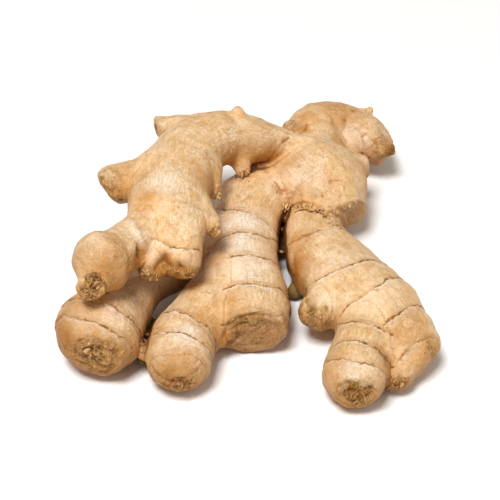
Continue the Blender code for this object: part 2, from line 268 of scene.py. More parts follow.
class Finger:
    """One finger's centre line and sizes, and where any point lies beside it."""

    def __init__(self, name, parent, blend, end, stations):
        self.name, self.parent, self.blend = name, parent, blend
        line = smooth_line(stations, LINE_STEP)
        self.centre, self.half = line[:, :3] + SOLID_SHIFT, line[:, 3:]
        self.step = np.diff(self.centre, axis=0)
        self.length = np.linalg.norm(self.step, axis=1)
        self.along = self.step / self.length[:, None]
        side = np.cross(self.along, (0, 0, 1))
        self.side = side / np.linalg.norm(side, axis=1)[:, None]
        self.up = np.cross(self.side, self.along)
        self.arc = np.concatenate([[0], np.cumsum(self.length)])
        margin = self.half.max() + REACH
        self.low, self.high = self.centre.min(axis=0) - margin, self.centre.max(axis=0) + margin
        self.look = None
        if end != "round":
            self.look = np.array(end[1]) / np.linalg.norm(end[1])
            self.face = self.centre[-1] + end[0] * self.along[-1]
            self.rim = CRISP_RIM if name in CRISP_CUTS else SOFT_RIM

    def place(self, points):
        """Rows of (distance from the surface, place across, place up, distance along), in mm."""
        rows = np.zeros((len(points), 4))
        rows[:, 0] = FAR
        close = ((points > self.low) & (points < self.high)).all(axis=1)
        if close.any():
            rows[close] = self.place_close(points[close])
        return rows

    def place_close(self, points):
        """The same rows for points near the finger, measured from the nearest piece of its centre line."""
        away = points[:, None, :] - self.centre[None, :-1, :]
        share = np.clip((away * self.step).sum(axis=2) / self.length ** 2, 0, 1)
        k = ((away - share[:, :, None] * self.step) ** 2).sum(axis=2).argmin(axis=1)
        row = np.arange(len(points))
        t = share[row, k]
        offset = away[row, k] - t[:, None] * self.step[k]
        wide, high = (self.half[k] + t[:, None] * (self.half[k + 1] - self.half[k])).T
        ahead = (offset * self.along[k]).sum(axis=1)
        across = (offset * self.side[k]).sum(axis=1)
        upward = (offset * self.up[k]).sum(axis=1)
        ratio = np.sqrt((across / wide) ** 2 + (upward / high) ** 2 + (ahead / np.minimum(wide, high)) ** 2)
        gap = np.linalg.norm(offset, axis=1) * (1 - 1 / np.maximum(ratio, 1e-6))
        if self.look is not None:
            gap = -soft_min(-gap, (self.face - points) @ self.look, self.rim)
        return np.column_stack([gap, across, upward, self.arc[k] + t * self.length[k] + ahead])


fingers = [Finger(*row) for row in FINGERS]
finger_number = {name: i for i, (name, *_rest) in enumerate(FINGERS)}
print("the arm is", round(fingers[finger_number["arm"]].arc[-1]), "mm long")


# %% Distances from the whole root
def place_beside_fingers(points):
    """The distance from the whole root, and each finger's own rows of places, for points in mm."""
    rows = np.array([finger.place(points) for finger in fingers])
    gaps = rows[:, :, 0]
    body = gaps[0]
    for i, finger in enumerate(fingers[1:], 1):
        body = np.minimum(body, soft_min(gaps[i], gaps[finger_number[finger.parent]], finger.blend))
    return body, rows


print("from the camera's aim to the skin:", place_beside_fingers(np.array([AIM / MM]))[0].round(1), "mm")

# %% [markdown]
# ## A fine skin over the solid
#
# The new skin starts as a copy of the solid's mesh. Its triangles come in loose, so they are merged first.
# A voxel remesh then gives it even little squares, each about as small as the finest wrinkle it has to carry,
# and the squares are drawn onto the fingers, which takes away the flat faces of the solid.

# %% Copy the solid and give it a fine mesh
SKIN_STEP = 0.87
DRAW_ROUNDS = 2
LONGEST_MOVE = 1.5

bpy.ops.object.select_all(action="DESELECT")
skin = bpy.data.objects.new("rhizome_skin", frame["nodes"]["rhizome"].data.copy())
bpy.context.scene.collection.objects.link(skin)
skin.data.materials.clear()
bpy.context.view_layer.objects.active = skin
skin.select_set(True)
bpy.ops.object.mode_set(mode="EDIT")
bpy.ops.mesh.select_all(action="SELECT")
bpy.ops.mesh.remove_doubles(threshold=0.001 * MM)
bpy.ops.object.mode_set(mode="OBJECT")
remesh = skin.modifiers.new("even squares", "REMESH")
remesh.mode = "VOXEL"
remesh.voxel_size = SKIN_STEP * MM
bpy.ops.object.modifier_apply(modifier=remesh.name)
print("skin squares:", len(skin.data.polygons))


# %% Draw the skin onto the fingers
def read_skin():
    """The skin's vertices and normals, in mm."""
    count = len(skin.data.vertices)
    points, normals = np.empty(count * 3), np.empty(count * 3)
    skin.data.vertices.foreach_get("co", points)
    skin.data.vertices.foreach_get("normal", normals)
    return points.reshape(-1, 3) / MM, normals.reshape(-1, 3)


def write_skin(points):
    """Moves the skin's vertices, and keeps them above the floor."""
    points[:, 2] = np.maximum(points[:, 2], 0)
    skin.data.vertices.foreach_set("co", (points * MM).ravel())
    skin.data.update()


for _ in range(DRAW_ROUNDS):
    points, normals = read_skin()
    gap, _rows = place_beside_fingers(points)
    write_skin(points - normals * np.clip(gap, -LONGEST_MOVE, LONGEST_MOVE)[:, None])
points, normals = read_skin()
print("drawn onto the fingers, farthest move in the last round", round(float(np.abs(gap).max()), 2), "mm")

# %% [markdown]
# ## Where the marks are
#
# Each mark is picked where it is seen: as a place in the picture, in pixels from its top left corner. A ray
# from the camera through that place meets the skin where the mark belongs. Marks could also be typed in as
# points in space, but a picked mark can be checked against the picture at a glance.

# %% Aim at the skin through the picture
def tree_of_skin(places):
    """The skin as a search tree for rays and nearest points, with its vertices at the places."""
    return BVHTree.FromPolygons([Vector(p) for p in places], [tuple(f.vertices) for f in skin.data.polygons])


def picture_ray(across, down):
    """The way from the camera through a place in the picture."""
    half = PICTURE_SIDE / 2
    aside = (across - half) / PICTURE_SIDE * PICTURE_SHARE
    rise = (half - down) / PICTURE_SIDE * PICTURE_SHARE
    return look + Vector((aside, 0, 0)) + picture_up * rise


smooth_tree = tree_of_skin(points)


def skin_at(across, down):
    """The point of the skin seen at a place in the picture, and its normal, in mm. None beside the root."""
    place, normal, _face, _far = smooth_tree.ray_cast(eye / MM, picture_ray(across, down).normalized())
    return (None, None) if place is None else (np.array(place), np.array(normal))


def picked(places):
    """The points of the skin at the places, without those beside the root."""
    return np.array([spot for spot, _normal in (skin_at(*place) for place in places) if spot is not None])


def marks(table):
    """Each mark of a table: its point of the skin, the normal there, and the sizes in the rest of its row."""
    for across, down, *sizes in table:
        spot, normal = skin_at(across, down)
        if spot is None:
            print("beside the root:", (across, down))
        else:
            yield spot, normal, sizes


print("the skin at the middle of the picture:", skin_at(250, 250)[0].round(1), "mm")

# %% [markdown]
# ## The rings
#
# Every ring on ginger is the scar of a scale leaf that once wrapped the stem there. Seen from the side a ring
# is nearly flat, so a few picked places on its near side settle the plane it lies in, and the plane carries
# it round to the far side. What the picks leave over bends the ring off its plane close to each pick.

# %% The table of rings
# Each ring is (finger, how strong it is, picked places in the picture).
RINGS = [
    ("arm", 0.5, [(188, 145), (204, 153), (216, 163)]),
    ("arm", 0.45, [(138, 200), (156, 199), (172, 201), (188, 206), (202, 209)]),
    ("arm", 1, [(143, 233), (154, 239), (172, 247), (182, 249), (199, 250)]),
    ("foot", 0.7, [(104, 221), (119, 214), (131, 219)]),
    ("foot", 0.5, [(100, 233), (114, 238), (122, 247), (127, 258)]),
    ("middle", 0.9, [(216, 210), (230, 209), (240, 211), (250, 214), (262, 220), (274, 228)]),
    ("middle", 1, [(220, 231), (236, 232), (252, 234), (266, 238), (278, 248)]),
    ("middle", 1, [(204, 265), (212, 264), (220, 260), (232, 258), (242, 255), (262, 258), (276, 264)]),
    ("middle", 1.2, [(188, 290), (198, 289), (210, 293), (224, 290), (234, 284), (250, 282),
        (262, 286), (282, 291)]),
    ("middle", 0.9, [(236, 320), (250, 316), (258, 314), (270, 316), (286, 318)]),
    ("middle_side", 1, [(164, 314), (174, 312), (186, 313), (194, 320), (208, 328)]),
    ("middle_side", 0.9, [(156, 332), (170, 333), (180, 331), (188, 336), (198, 342), (209, 350)]),
    ("middle_side", 0.4, [(157, 356), (170, 357), (180, 354), (190, 356), (202, 362)]),
    ("left", 0.9, [(98, 299), (110, 304), (122, 314), (134, 322)]),
    ("left", 1, [(60, 318), (80, 319), (98, 324), (114, 332), (130, 343)]),
    ("left", 0.5, [(82, 344), (100, 343), (116, 349)]),
    ("right", 0.5, [(290, 243), (302, 236), (313, 233)]),
    ("right", 0.9, [(308, 287), (316, 280), (326, 275), (338, 270), (356, 263), (370, 260), (384, 261)]),
    ("right", 1, [(344, 311), (350, 304), (364, 296), (378, 286), (390, 279), (404, 277)]),
    ("right", 1, [(382, 327), (390, 320), (400, 312), (410, 306), (421, 303)]),
    ("right", 0.5, [(404, 356), (412, 346), (424, 338)]),
    ("right_front", 0.9, [(338, 327), (346, 323), (358, 322), (372, 325)]),
    ("right_front", 0.7, [(328, 348), (338, 343), (350, 341), (364, 342)]),
    ("right_front", 1, [(323, 366), (330, 360), (342, 360), (354, 362), (368, 364), (382, 372)]),
]
print("rings:", len(RINGS), "picked in", sum(len(picks) for _name, _strength, picks in RINGS), "places")

# %% Find a ring's plane
# How firmly a ring keeps square to its finger, and how far in mm a pick bends it off its plane.
PLANE_STIFFNESS = 80
PICK_REACH = 4.5


def ring_distance(finger, picks):
    """How far the vertices are past a ring, in mm, towards the tip of its finger."""
    spots = picked(picks)
    middle = spots.mean(axis=0)
    k = ((finger.centre[:-1] - middle) ** 2).sum(axis=1).argmin()

    def lean(places):
        return np.column_stack([places @ finger.side[k], places @ finger.up[k], np.ones(len(places))])

    picks_lean, picks_past = lean(spots - middle), (spots - middle) @ finger.along[k]
    stiff = np.diag([PLANE_STIFFNESS, PLANE_STIFFNESS, 1e-3])
    tilt = np.linalg.solve(picks_lean.T @ picks_lean + stiff, -picks_lean.T @ picks_past)
    left_over = picks_past + picks_lean @ tilt
    past = (points - middle) @ finger.along[k] + lean(points - middle) @ tilt
    close = np.exp(-((points[:, None, :] - spots) ** 2).sum(axis=2) / PICK_REACH ** 2)
    return past - (close @ left_over) / (close.sum(axis=1) + 0.05)


print("a pick bends a ring within about", PICK_REACH, "mm")


# %% Measure the skin for its marks
def lumps(points, size, seed):
    """Smooth noise between about -1 and 1 at each point, with lumps of the given size in mm."""
    shift = Vector((seed, 3.7 * seed, -2.1 * seed))
    return np.array([noise.noise(Vector(point) / size + shift) for point in points])


def bell(far, width, middle=0.0):
    """1 where far is at the middle, falling smoothly to 0 beyond the width."""
    return np.exp(-((far - middle) / width) ** 2)


def away(spot):
    """How far each vertex is from a point, in mm."""
    return np.linalg.norm(points - spot, axis=1)


_body, rows = place_beside_fingers(points)
gaps = rows[:, :, 0]
nearest = gaps.argmin(axis=0)
# Clear skin is at least this many mm nearer to its own finger than to the next one.
CLEAR_BY = 4
two = np.partition(gaps, 1, axis=0)[:2]
clear = np.clip((two[1] - two[0]) / CLEAR_BY, 0, 1)
# Every edge is made ragged by the same noise, in mm.
jag = 0.6 * lumps(points, 5, 5) + 0.3 * lumps(points, 1.7, 6)
print("vertices:", len(points), "of them on clear skin:", int((clear == 1).sum()))

# %% Lay the rings on the skin
# Places where the skin is rubbed and a ring fades out: (across, down, radius in mm).
RUBBED = [(134, 226, 6.5), (127, 218, 4.5), (145, 238, 3), (168, 142, 9), (152, 206, 5)]
rubbed = np.zeros(len(points))
for spot, _normal, (radius,) in marks(RUBBED):
    rubbed = np.maximum(rubbed, np.exp(-(away(spot) / radius) ** 4))

# How far a ring is felt, and its relief: (height, width, how far past the ring), all in mm.
RING_SPREAD = 2.2
RING_SHAPE = [(0.30, 1.1, -0.9), (-0.26, 0.6, 0.2), (0.36, 2.6, 4.0)]
ring_near = np.zeros(len(points))
ring_past = np.zeros(len(points))
relief = np.zeros(len(points))
for name, strength, picks in RINGS:
    number = finger_number[name]
    past = ring_distance(fingers[number], picks) + jag
    on_finger = np.clip((3.5 - gaps[number]) / 2, 0, 1) * (1 - rubbed)
    if fingers[number].parent == "arm":
        on_finger = on_finger * np.clip((gaps[finger_number["arm"]] - gaps[number] + 1) / 1.5, 0, 1)
    near = on_finger * bell(past, RING_SPREAD)
    stronger = near * strength > ring_near
    ring_near[stronger] = (near * strength)[stronger]
    ring_past[stronger] = past[stronger]
    for height, width, middle in RING_SHAPE:
        relief += height * strength * on_finger * bell(past, width, middle)
print(len(RINGS), "rings, vertices close to one:", int((ring_near > 0.3).sum()))

# %% [markdown]
# ## Bumps and dents
#
# No finger is as even as its centre line and sizes make it. The dents between the toes and the low swellings
# could be sculpted by brush, but a brush stroke can't be read back. A table of soft bumps, each with its
# place, radius and height, does the same, and every one of them can be changed later.

# %% Bumps and dents
# Each is (across, down, radius in mm, height in mm, below zero for a dent).
BUMPS = [
    (391, 132, 5.5, -2.6), (386, 153, 4.5, 1.6), (378, 163, 3.6, -1.4), (390, 150, 2.8, 2),
    (384, 157, 3, -1.2), (388, 146, 2.6, 1), (385, 138, 2.6, -0.8), (385, 128, 3, -0.9), (352, 219, 6, 2.2),
    (365, 203, 5, -1.6), (303, 125, 3.6, -1.1), (292, 125, 3.8, 1.3), (325, 108, 7, 0.5),
    (340, 126, 5, -0.7), (361, 164, 4, 0.7), (372, 118, 4, 0.6), (368, 146, 4, 0.6), (302, 238, 4.5, -0.7),
    (299, 262, 5, 0.6), (140, 256, 3.2, -1.6), (163, 265, 3.2, -3.4), (183, 268, 2.4, -1.2),
    (152, 264, 4, 1.2), (190, 262, 5, 1), (179, 269, 2.8, -2), (172, 262, 2.4, 0.6), (156, 272, 2.2, -0.7),
    (148, 240, 3, 0.6), (120, 268, 4, -0.6), (95, 270, 4, -0.5), (80, 258, 5, 0.5), (108, 228, 4, -0.7),
    (94, 236, 4, 0.5), (104, 244, 4, 0.6), (90, 250, 3.5, -0.6), (230, 328, 5, -0.6), (252, 345, 5, -0.6),
    (276, 328, 5, -0.5), (262, 345, 4, 0.5), (70, 345, 4, -0.7), (88, 366, 4, -0.5), (118, 356, 4, 0.5),
    (64, 328, 4, 0.5), (116, 194, 5, 0.6), (104, 178, 4, 0.5), (128, 196, 4, 0.5), (110, 188, 3, -0.5),
    (385, 352, 4, -0.6), (396, 362, 4, 0.5), (416, 352, 4, -0.5), (426, 358, 4, 0.6), (226, 120, 5, 0.6),
    (238, 118, 4, -0.5), (205, 232, 4, 0.5), (330, 160, 7, 0.4), (350, 190, 6, -0.6), (342, 222, 3, -0.6),
    (336, 228, 3, 0.6), (350, 208, 3, 0.5),
]

for spot, _normal, (radius, height) in marks(BUMPS):
    relief += height * bell(away(spot), radius)
print(len(BUMPS), "bumps and dents")

# %% [markdown]
# ## Ends, scars and pits
#
# Where a shoot died or the root was broken from its clump, the end dries to brown, cracked, stringy tissue.
# Small pits are left where roots fell off. Each one is a picked place with a size. Rough ends are torn in two
# ways here: coarse lumps and cracks in the mesh, and fine threads later on in the material.

# %% The table of worn places
# Each is (across, down, radius in mm, depth of its dish in mm, how torn, how many old scars ring it).
WORN = [
    (107, 186, 6, 0.3, 0.45, 0), (119, 193, 6, 0, 0.45, 0), (109, 176, 5, 0, 0.3, 0),
    (91, 286, 5.2, 1.7, 1, 0), (88, 293, 4, 0, 0.9, 0), (104, 283, 4.5, 0, 0.5, 0),
    (150, 277, 4.4, 0.3, 0.65, 0), (188, 274, 4.4, 0.3, 0.65, 0), (199, 268, 3.2, 0, 0.7, 0),
    (213, 232, 3, 0, 0.65, 0), (218, 193, 3.4, 0, 0.6, 0), (245, 172, 2.4, 0, 0.5, 0),
    (156, 129, 2.6, 0, 0.7, 0), (169, 268, 2.6, 0, 0.5, 0), (315, 322, 7.4, 0, 0.6, 0),
    (306, 314, 5.4, 0, 0.5, 0), (326, 318, 5, 0, 0.5, 0), (357, 397, 7.6, 1.3, 0.9, 3),
    (398, 385, 4.8, 0, 0.8, 0), (407, 380, 3, 0, 0.6, 0), (94, 360, 10, 0.8, 0.5, 3),
    (76, 354, 3.6, 0.6, 0.6, 0), (92, 357, 4.6, 0.9, 0.55, 2), (178, 388, 6.6, 0.4, 0.4, 3),
    (191, 381, 4, 0.2, 0.55, 0), (163, 380, 4, 0.2, 0.3, 0), (229, 343, 2.4, 1.3, 1, 0),
    (238, 324, 4, 0.4, 0.55, 0), (250, 322, 4.4, 0.4, 0.5, 0), (242, 335, 4.4, 0.2, 0.5, 0),
    (262, 326, 4, 0.1, 0.4, 0), (256, 338, 4.4, 0, 0.4, 0), (384, 150, 6, 0.1, 0.55, 0),
    (388, 150, 3.6, 0, 0.8, 0), (380, 140, 3, 0, 0.35, 0), (291, 128, 3.4, 0, 0.5, 0),
    (285, 126, 2.2, 0, 0.6, 0), (143, 349, 3, 0, 0.4, 0), (433, 350, 5.5, 0, 0.35, 0),
    (339, 222, 3.4, 0.2, 0.5, 0), (331, 214, 2.6, 0, 0.5, 0),
]
print(len(WORN), "worn places")

# %% Wear the skin at these places
torn = np.zeros(len(points))
crumbly = np.zeros(len(points))
groove = np.zeros(len(points))
for number, (spot, facing, (radius, dish, strength, scar_rings)) in enumerate(marks(WORN)):
    out = away(spot) / radius + 0.35 * jag
    inside = np.clip((1.3 - out) / 0.8, 0, 1)
    torn = np.maximum(torn, strength * inside)
    relief -= dish * np.clip(1.3 - 1.3 * np.clip(out, 0, 2) ** 4, 0, 1)
    relief += 0.35 * dish * bell(out, 0.16, 1.08)
    # Pleats run out from the middle, so their noise is read by the turn round it and the distance from it.
    worn = inside > 0
    side = np.cross(facing, (0.3, 0.9, 0.2))
    turn = np.arctan2((points[worn] - spot) @ np.cross(facing, side), (points[worn] - spot) @ side)
    rolled = np.column_stack([2.4 * np.cos(turn), 2.4 * np.sin(turn), 1.2 * out[worn]])
    pleats = np.zeros(len(points))
    pleats[worn] = lumps(rolled, 1, 40 + number)
    if scar_rings:
        flap = (scar_rings * (out + 0.25 * jag) + 0.55 * pleats) % 1
        relief += 1.4 * inside * (flap - 0.5)
        relief += 0.14 * bell(out, 0.5, 1.6) * np.cos(14 * out + 3 * jag)
        groove = np.maximum(groove, inside * np.clip(1 - 3 * flap, 0, 1))
        crumbly = np.maximum(crumbly, 0.35 * strength * inside)
    else:
        relief += 0.75 * strength * inside * pleats
        groove = np.maximum(groove, inside * np.clip(-2 * pleats - 0.35, 0, 1))
        crumbly = np.maximum(crumbly, strength * inside)
threads = lumps(points * (1, 1, 0.4), 1.5, 11)
crumbs = lumps(points, 2.6, 12)
relief += crumbly * (0.45 * threads + 0.45 * crumbs + 0.25 * lumps(points, 1.2, 13))
gaps_between = np.clip(-1.4 * threads - 1.0 * crumbs - 0.45, 0, 1)
groove = np.maximum(groove, gaps_between * np.clip(2 * crumbly, 0, 1))
print("torn skin:", round(100 * float((torn > 0.3).mean()), 1), "% of the vertices")

# %% [markdown]
# ## Cut faces and the torn scale
#
# Five fingers and stumps were broken off flat. The skin stops at a rim there, and the flesh has dried to a
# brown face. Below the crown an old scale leaf has torn along its whole length, and its fringe hangs over the
# root of the right finger. A cut face is where a point lies in the plane of its finger's cut, and the fringe
# is where the crown ends and the right finger starts, so neither needs a picked place.

# %% Find the cut faces
# Each cut face is (finger, how brown it is).
CUTS = [("crown", 0.55), ("middle", 0.85), ("arm_stub", 0.15), ("arm_peg", 0.5), ("crest", 0.35)]
MIDDLE_SHADE = 0.4
RIM_HEIGHT = 0.35
cut = np.zeros(len(points))
for name, strength in CUTS:
    finger = fingers[finger_number[name]]
    own_gap = gaps[finger_number[name]]
    behind = (finger.face - points) @ finger.look
    facing = normals @ finger.look
    flat = np.clip((1.3 - np.abs(behind)) / 0.7, 0, 1) * (own_gap < 0.8) * (facing > 0.6)
    cut = np.maximum(cut, strength * flat)
    relief += RIM_HEIGHT * bell(behind, 0.9, 1.6) * np.clip((3 - own_gap) / 2, 0, 1) * (facing > 0.15)
relief += cut * (0.55 * lumps(points, 4.5, 21) + 0.3 * lumps(points, 1.6, 22) - 0.2)
# The middle's cut face is browned further: partly dried flesh, partly painted shade, as cut faces take none
# of the multiplied shade.
cut_shade = np.where(nearest == finger_number["middle"], MIDDLE_SHADE, 0.0) * cut
print("cut faces cover", round(100 * float((cut > 0.2).mean()), 1), "% of the skin")

# %% Raise the torn scale
SCALE_LIP, SCALE_HOLLOW = 1.2, 0.55
LOWEST_SCALE = 12
crown_gap = np.minimum(gaps[finger_number["crown"]], gaps[finger_number["crown_front"]])
right_gap = np.minimum(gaps[finger_number["right"]], gaps[finger_number["right_side"]])
below_scale = crown_gap - right_gap + 0.9 * jag
on_seam = np.clip((4 - np.maximum(crown_gap, right_gap)) / 2, 0, 1) * (points[:, 2] > LOWEST_SCALE)
relief += on_seam * (SCALE_LIP * bell(below_scale, 1.6, -1.6) - SCALE_HOLLOW * bell(below_scale, 1.0, 0.9))
relief += 0.4 * on_seam * bell(below_scale, 3, -2.5) * lumps(points * (1, 0.15, 0.15), 0.9, 24)
fringe = on_seam * bell(below_scale, 1.8, -0.8)
print("the torn scale covers", round(100 * float((fringe > 0.3).mean()), 1), "% of the skin")

# %% [markdown]
# ## Stains, painted shade and painted highlight
#
# Patches of the skin differ for a reason: bruises turn orange, rubbed skin turns grey, and root stumps stay
# greenish. Two kinds are painted light: the darker kind is painted shade on sides, in hollows and on faces
# turned from the lamp, and the pale kind is partly pale skin over ridges, partly painted highlight on tops
# that face the lamp. They are soft clouds round picked places, kept apart by kind.

# %% The table of stains, painted shade and painted highlight
# Each kind has rows of (across, down, radius in mm, strength).
STAINS = {
    "bruise": [
        (147, 196, 4.5, 0.9), (143, 208, 3.2, 0.7), (93, 303, 6, 0.45), (104, 313, 4, 0.4),
        (95, 336, 7, 0.3), (339, 360, 5, 0.6), (378, 348, 3, 0.6), (300, 262, 5, 0.6), (296, 240, 5, 0.6),
        (203, 318, 4, 0.6), (184, 358, 3, 0.6), (330, 182, 3, 0.5), (282, 192, 4, 0.6),
        (276, 188, 2.6, 0.6), (286, 158, 3, 0.4), (341, 142, 2.5, 0.8), (290, 160, 3, 0.3),
        (303, 118, 3, 0.5), (345, 120, 2.2, 0.8), (353, 111, 2, 0.8), (332, 372, 4, 0.5),
        (214, 252, 5, 0.5), (192, 278, 5, 0.3),
    ],
    "scuff": [
        (133, 294, 4, 0.8), (137, 303, 3, 0.8), (126, 286, 3, 0.5), (385, 362, 3, 0.7), (383, 356, 2, 0.6),
        (60, 345, 4, 0.4),
    ],
    # Partly pale skin over ridges, partly painted highlight on tops that face the lamp.
    "pale": [
        (132, 224, 1.6, 0.6), (136, 231, 1.6, 0.8), (141, 240, 1.6, 0.9), (146, 249, 1.8, 0.8),
        (92, 240, 7, 0.5), (352, 130, 6, 0.6), (328, 112, 5, 0.4), (362, 142, 4, 0.6), (165, 345, 5, 0.4),
        (160, 150, 6, 0.3), (165, 182, 7, 0.7), (245, 221, 8, 1), (240, 243, 8, 1), (246, 270, 9, 0.7),
        (375, 300, 8, 0.35), (300, 172, 8, 0.5), (183, 334, 6, 1), (85, 318, 5, 0.4), (112, 318, 5, 0.5),
        (322, 298, 4, 0.6), (352, 368, 5, 0.6), (345, 262, 6, 0.4), (152, 256, 2.6, 0.8),
        (186, 256, 3, 0.5), (110, 180, 3, 0.5), (340, 118, 5, 0.3),
    ],
    # Painted shade: darker tan and a multiplied shade on sides, in hollows and on faces turned from the lamp.
    "painted_shade": [
        (240, 330, 9, 0.8), (256, 330, 8, 0.7), (384, 148, 6, 0.4), (120, 183, 8, 0.6), (85, 322, 8, 0.2),
        (402, 336, 9, 0.45), (290, 163, 6, 0.35), (113, 240, 4, 0.6), (119, 252, 4, 0.6), (84, 240, 4, 0.4),
        (98, 254, 4, 0.4), (78, 244, 4, 0.4), (335, 112, 11, 0.6), (312, 116, 7, 0.5), (360, 122, 7, 0.4),
        (386, 148, 8, 0.5), (62, 335, 8, 1), (70, 305, 7, 0.6), (172, 368, 8, 0.6), (108, 264, 7, 0.6),
        (85, 252, 6, 0.5), (430, 345, 7, 0.6), (420, 322, 6, 0.4), (108, 190, 7, 0.5), (203, 182, 6, 0.6),
        (206, 262, 8, 0.7), (196, 282, 6, 0.7), (288, 300, 5, 0.6), (284, 330, 6, 0.5), (298, 268, 6, 0.8),
        (296, 290, 4, 0.6), (312, 318, 7, 0.1), (252, 336, 10, 0.4), (150, 262, 6, 0.4), (186, 262, 6, 0.4),
        (388, 366, 7, 0.4), (226, 300, 5, 0.4), (100, 350, 12, 0.25), (270, 155, 6, 0.5),
        (141, 257, 3.5, 0.9), (164, 266, 5, 1), (184, 270, 2.5, 0.8), (179, 271, 3, 0.9),
        (104, 188, 7, 0.6), (250, 332, 7, 0.6), (303, 128, 4, 0.7), (138, 262, 3, 0.6), (196, 246, 4, 0.3),
        (236, 336, 7, 0.9), (258, 338, 8, 0.8), (76, 262, 5, 0.35), (128, 262, 5, 0.5), (338, 142, 5, 0.4),
    ],
}
print("stains picked:", {kind: len(table) for kind, table in STAINS.items()})

# %% Cloud the stains, the painted shade and the painted highlight
cloudy = 0.3 * lumps(points, 4, 31)
stains = {}
for kind, table in STAINS.items():
    stains[kind] = np.zeros(len(points))
    for spot, _normal, (radius, strength) in marks(table):
        out = np.maximum(away(spot) / radius + cloudy, 0)
        stains[kind] = np.maximum(stains[kind], strength * bell(out, 1))
STUMPS = [finger_number["middle_root"], finger_number["right_nub"]]
green = np.isin(nearest, STUMPS).astype(float)
# Painted shade: the skin is made darker where it faces down, where less light reaches it.
underside_shade = np.clip(0.62 - 0.95 * normals[:, 2], 0, 1)
print("mean stain:", {kind: round(float(value.mean()), 3) for kind, value in stains.items()})

# %% [markdown]
# ## Cracks and creases
#
# As a finger swells, its dry skin splits and folds: across the finger near the tips, and every way at the
# ends and forks. Each crack is a line through a few picked places. It could be cut into the mesh, but it is
# only half a millimetre wide, so it is pressed into the squares as a groove with a low swelling beside it.

# %% The table of cracks
# Each row is (width in mm, depth in mm, how brown), and then the picked places along each crack of that kind.
CRACKS = [
    (0.6, 0.4, 0.7, [(268, 161), (276, 151), (283, 142), (289, 137)],
        [(80, 351), (90, 346), (101, 347), (111, 353)], [(84, 359), (92, 354), (100, 355), (107, 361)]),
    (0.6, 0.3, 0.5, [(283, 142), (287, 150), (286, 156)], [(104, 196), (112, 200), (122, 203)],
        [(240, 346), (254, 346), (266, 342)], [(366, 346), (376, 349), (384, 357), (387, 367)],
        [(323, 384), (328, 396), (336, 404)]),
    (0.7, 0.8, 0.8, [(285, 131), (291, 134), (299, 133), (305, 129), (308, 124)]),
    (1.3, -0.6, 0, [(129, 220), (135, 229), (141, 240), (147, 252)]),
    (0.5, 0.3, 0.7, [(326, 214), (333, 211), (346, 205), (356, 202)], [(384, 134), (386, 142), (391, 147)]),
    (0.5, 0.25, 0.6, [(338, 208), (342, 216), (350, 222)], [(270, 189), (277, 189), (285, 191)],
        [(126, 247), (129, 257), (129, 268)], [(306, 291), (307, 299), (308, 306)],
        [(120, 268), (126, 264), (131, 256)]),
    (0.6, 0.3, 0.6, [(98, 180), (104, 178), (112, 181)], [(98, 188), (106, 186), (112, 190), (116, 198)],
        [(362, 154), (369, 158), (373, 167)], [(371, 156), (378, 152), (386, 155)]),
    (0.5, 0.2, 0.5, [(72, 330), (90, 336), (106, 340), (120, 350)]),
    (0.5, 0.25, 0.5, [(160, 348), (174, 349), (188, 346), (200, 350)],
        [(326, 376), (340, 372), (358, 374), (374, 380)], [(332, 388), (342, 382), (356, 381), (372, 388)],
        [(334, 181), (338, 180), (344, 181)], [(339, 197), (343, 193), (345, 187)],
        [(190, 262), (192, 254), (188, 250)], [(108, 233), (113, 238), (117, 244)],
        [(82, 268), (90, 273), (100, 275), (110, 273)]),
    (0.5, 0.25, 0.4, [(154, 360), (164, 366), (178, 366), (192, 358), (203, 352)],
        [(64, 348), (72, 341), (86, 339), (102, 341), (118, 350), (122, 358)],
        [(70, 372), (82, 380), (98, 382), (112, 376)]),
    (0.9, 0.7, 0.8, [(139, 247), (141, 256), (144, 264)]),
    (1.1, 0.9, 0.9, [(166, 256), (168, 266), (167, 274)]),
    (0.9, 0.6, 0.7, [(177, 262), (180, 270), (178, 277)]),
    (0.9, 0.6, 0.9, [(341, 139), (345, 147), (352, 152), (362, 154)]),
    (0.5, 0.3, 0.6, [(359, 138), (366, 134), (371, 139), (377, 144)],
        [(365, 150), (372, 146), (377, 139), (382, 137)]),
    (0.7, 0.4, 0.6, [(290, 243), (297, 240), (301, 235), (311, 233)]),
    (0.5, 0.15, 0.3, [(224, 294), (226, 302), (228, 310)]),
    (0.8, 0.6, 0.9, [(224, 336), (227, 328), (234, 320), (244, 316), (256, 314), (270, 316), (286, 320)]),
    (0.6, 0.4, 0.6, [(232, 330), (242, 325), (254, 327), (262, 322)],
        [(236, 340), (246, 334), (258, 337), (270, 331)], [(77, 367), (90, 373), (104, 373), (115, 366)],
        [(163, 384), (176, 388), (190, 384)], [(169, 391), (180, 394), (190, 390)],
        [(338, 386), (348, 381), (362, 382), (374, 389)]),
    (0.5, 0.25, 0.7, [(275, 182), (279, 188), (276, 194)]),
    (0.6, 0.4, 0.5, [(157, 371), (170, 377), (184, 377), (197, 369)],
        [(164, 372), (177, 370), (190, 366), (198, 360)]),
    (0.5, 0.2, 0.4, [(112, 252), (118, 254), (119, 259), (113, 261), (110, 257), (112, 252)],
        [(112, 214), (106, 226), (104, 232)], [(76, 254), (82, 262), (92, 267)],
        [(146, 157), (151, 153), (162, 156)]),
    (0.5, 0.2, 0.3, [(204, 214), (206, 226), (205, 238)], [(196, 210), (198, 224), (197, 240)],
        [(304, 320), (300, 312), (303, 304)]),
    (0.8, 0.5, 0.7, [(152, 367), (160, 376), (170, 381), (181, 380)]),
    (0.8, 0.6, 0.7, [(84, 347), (93, 352), (104, 349), (114, 353)]),
    (0.8, 0.6, 0.8, [(76, 362), (86, 366), (95, 364), (104, 368), (114, 364)]),
    (0.6, 0.3, 0.4, [(372, 112), (378, 122), (380, 130)]),
    (0.7, 0.4, 0.5, [(356, 128), (362, 136), (364, 146)]),
]
print(sum(len(row) - 3 for row in CRACKS), "cracks and creases of", len(CRACKS), "kinds")

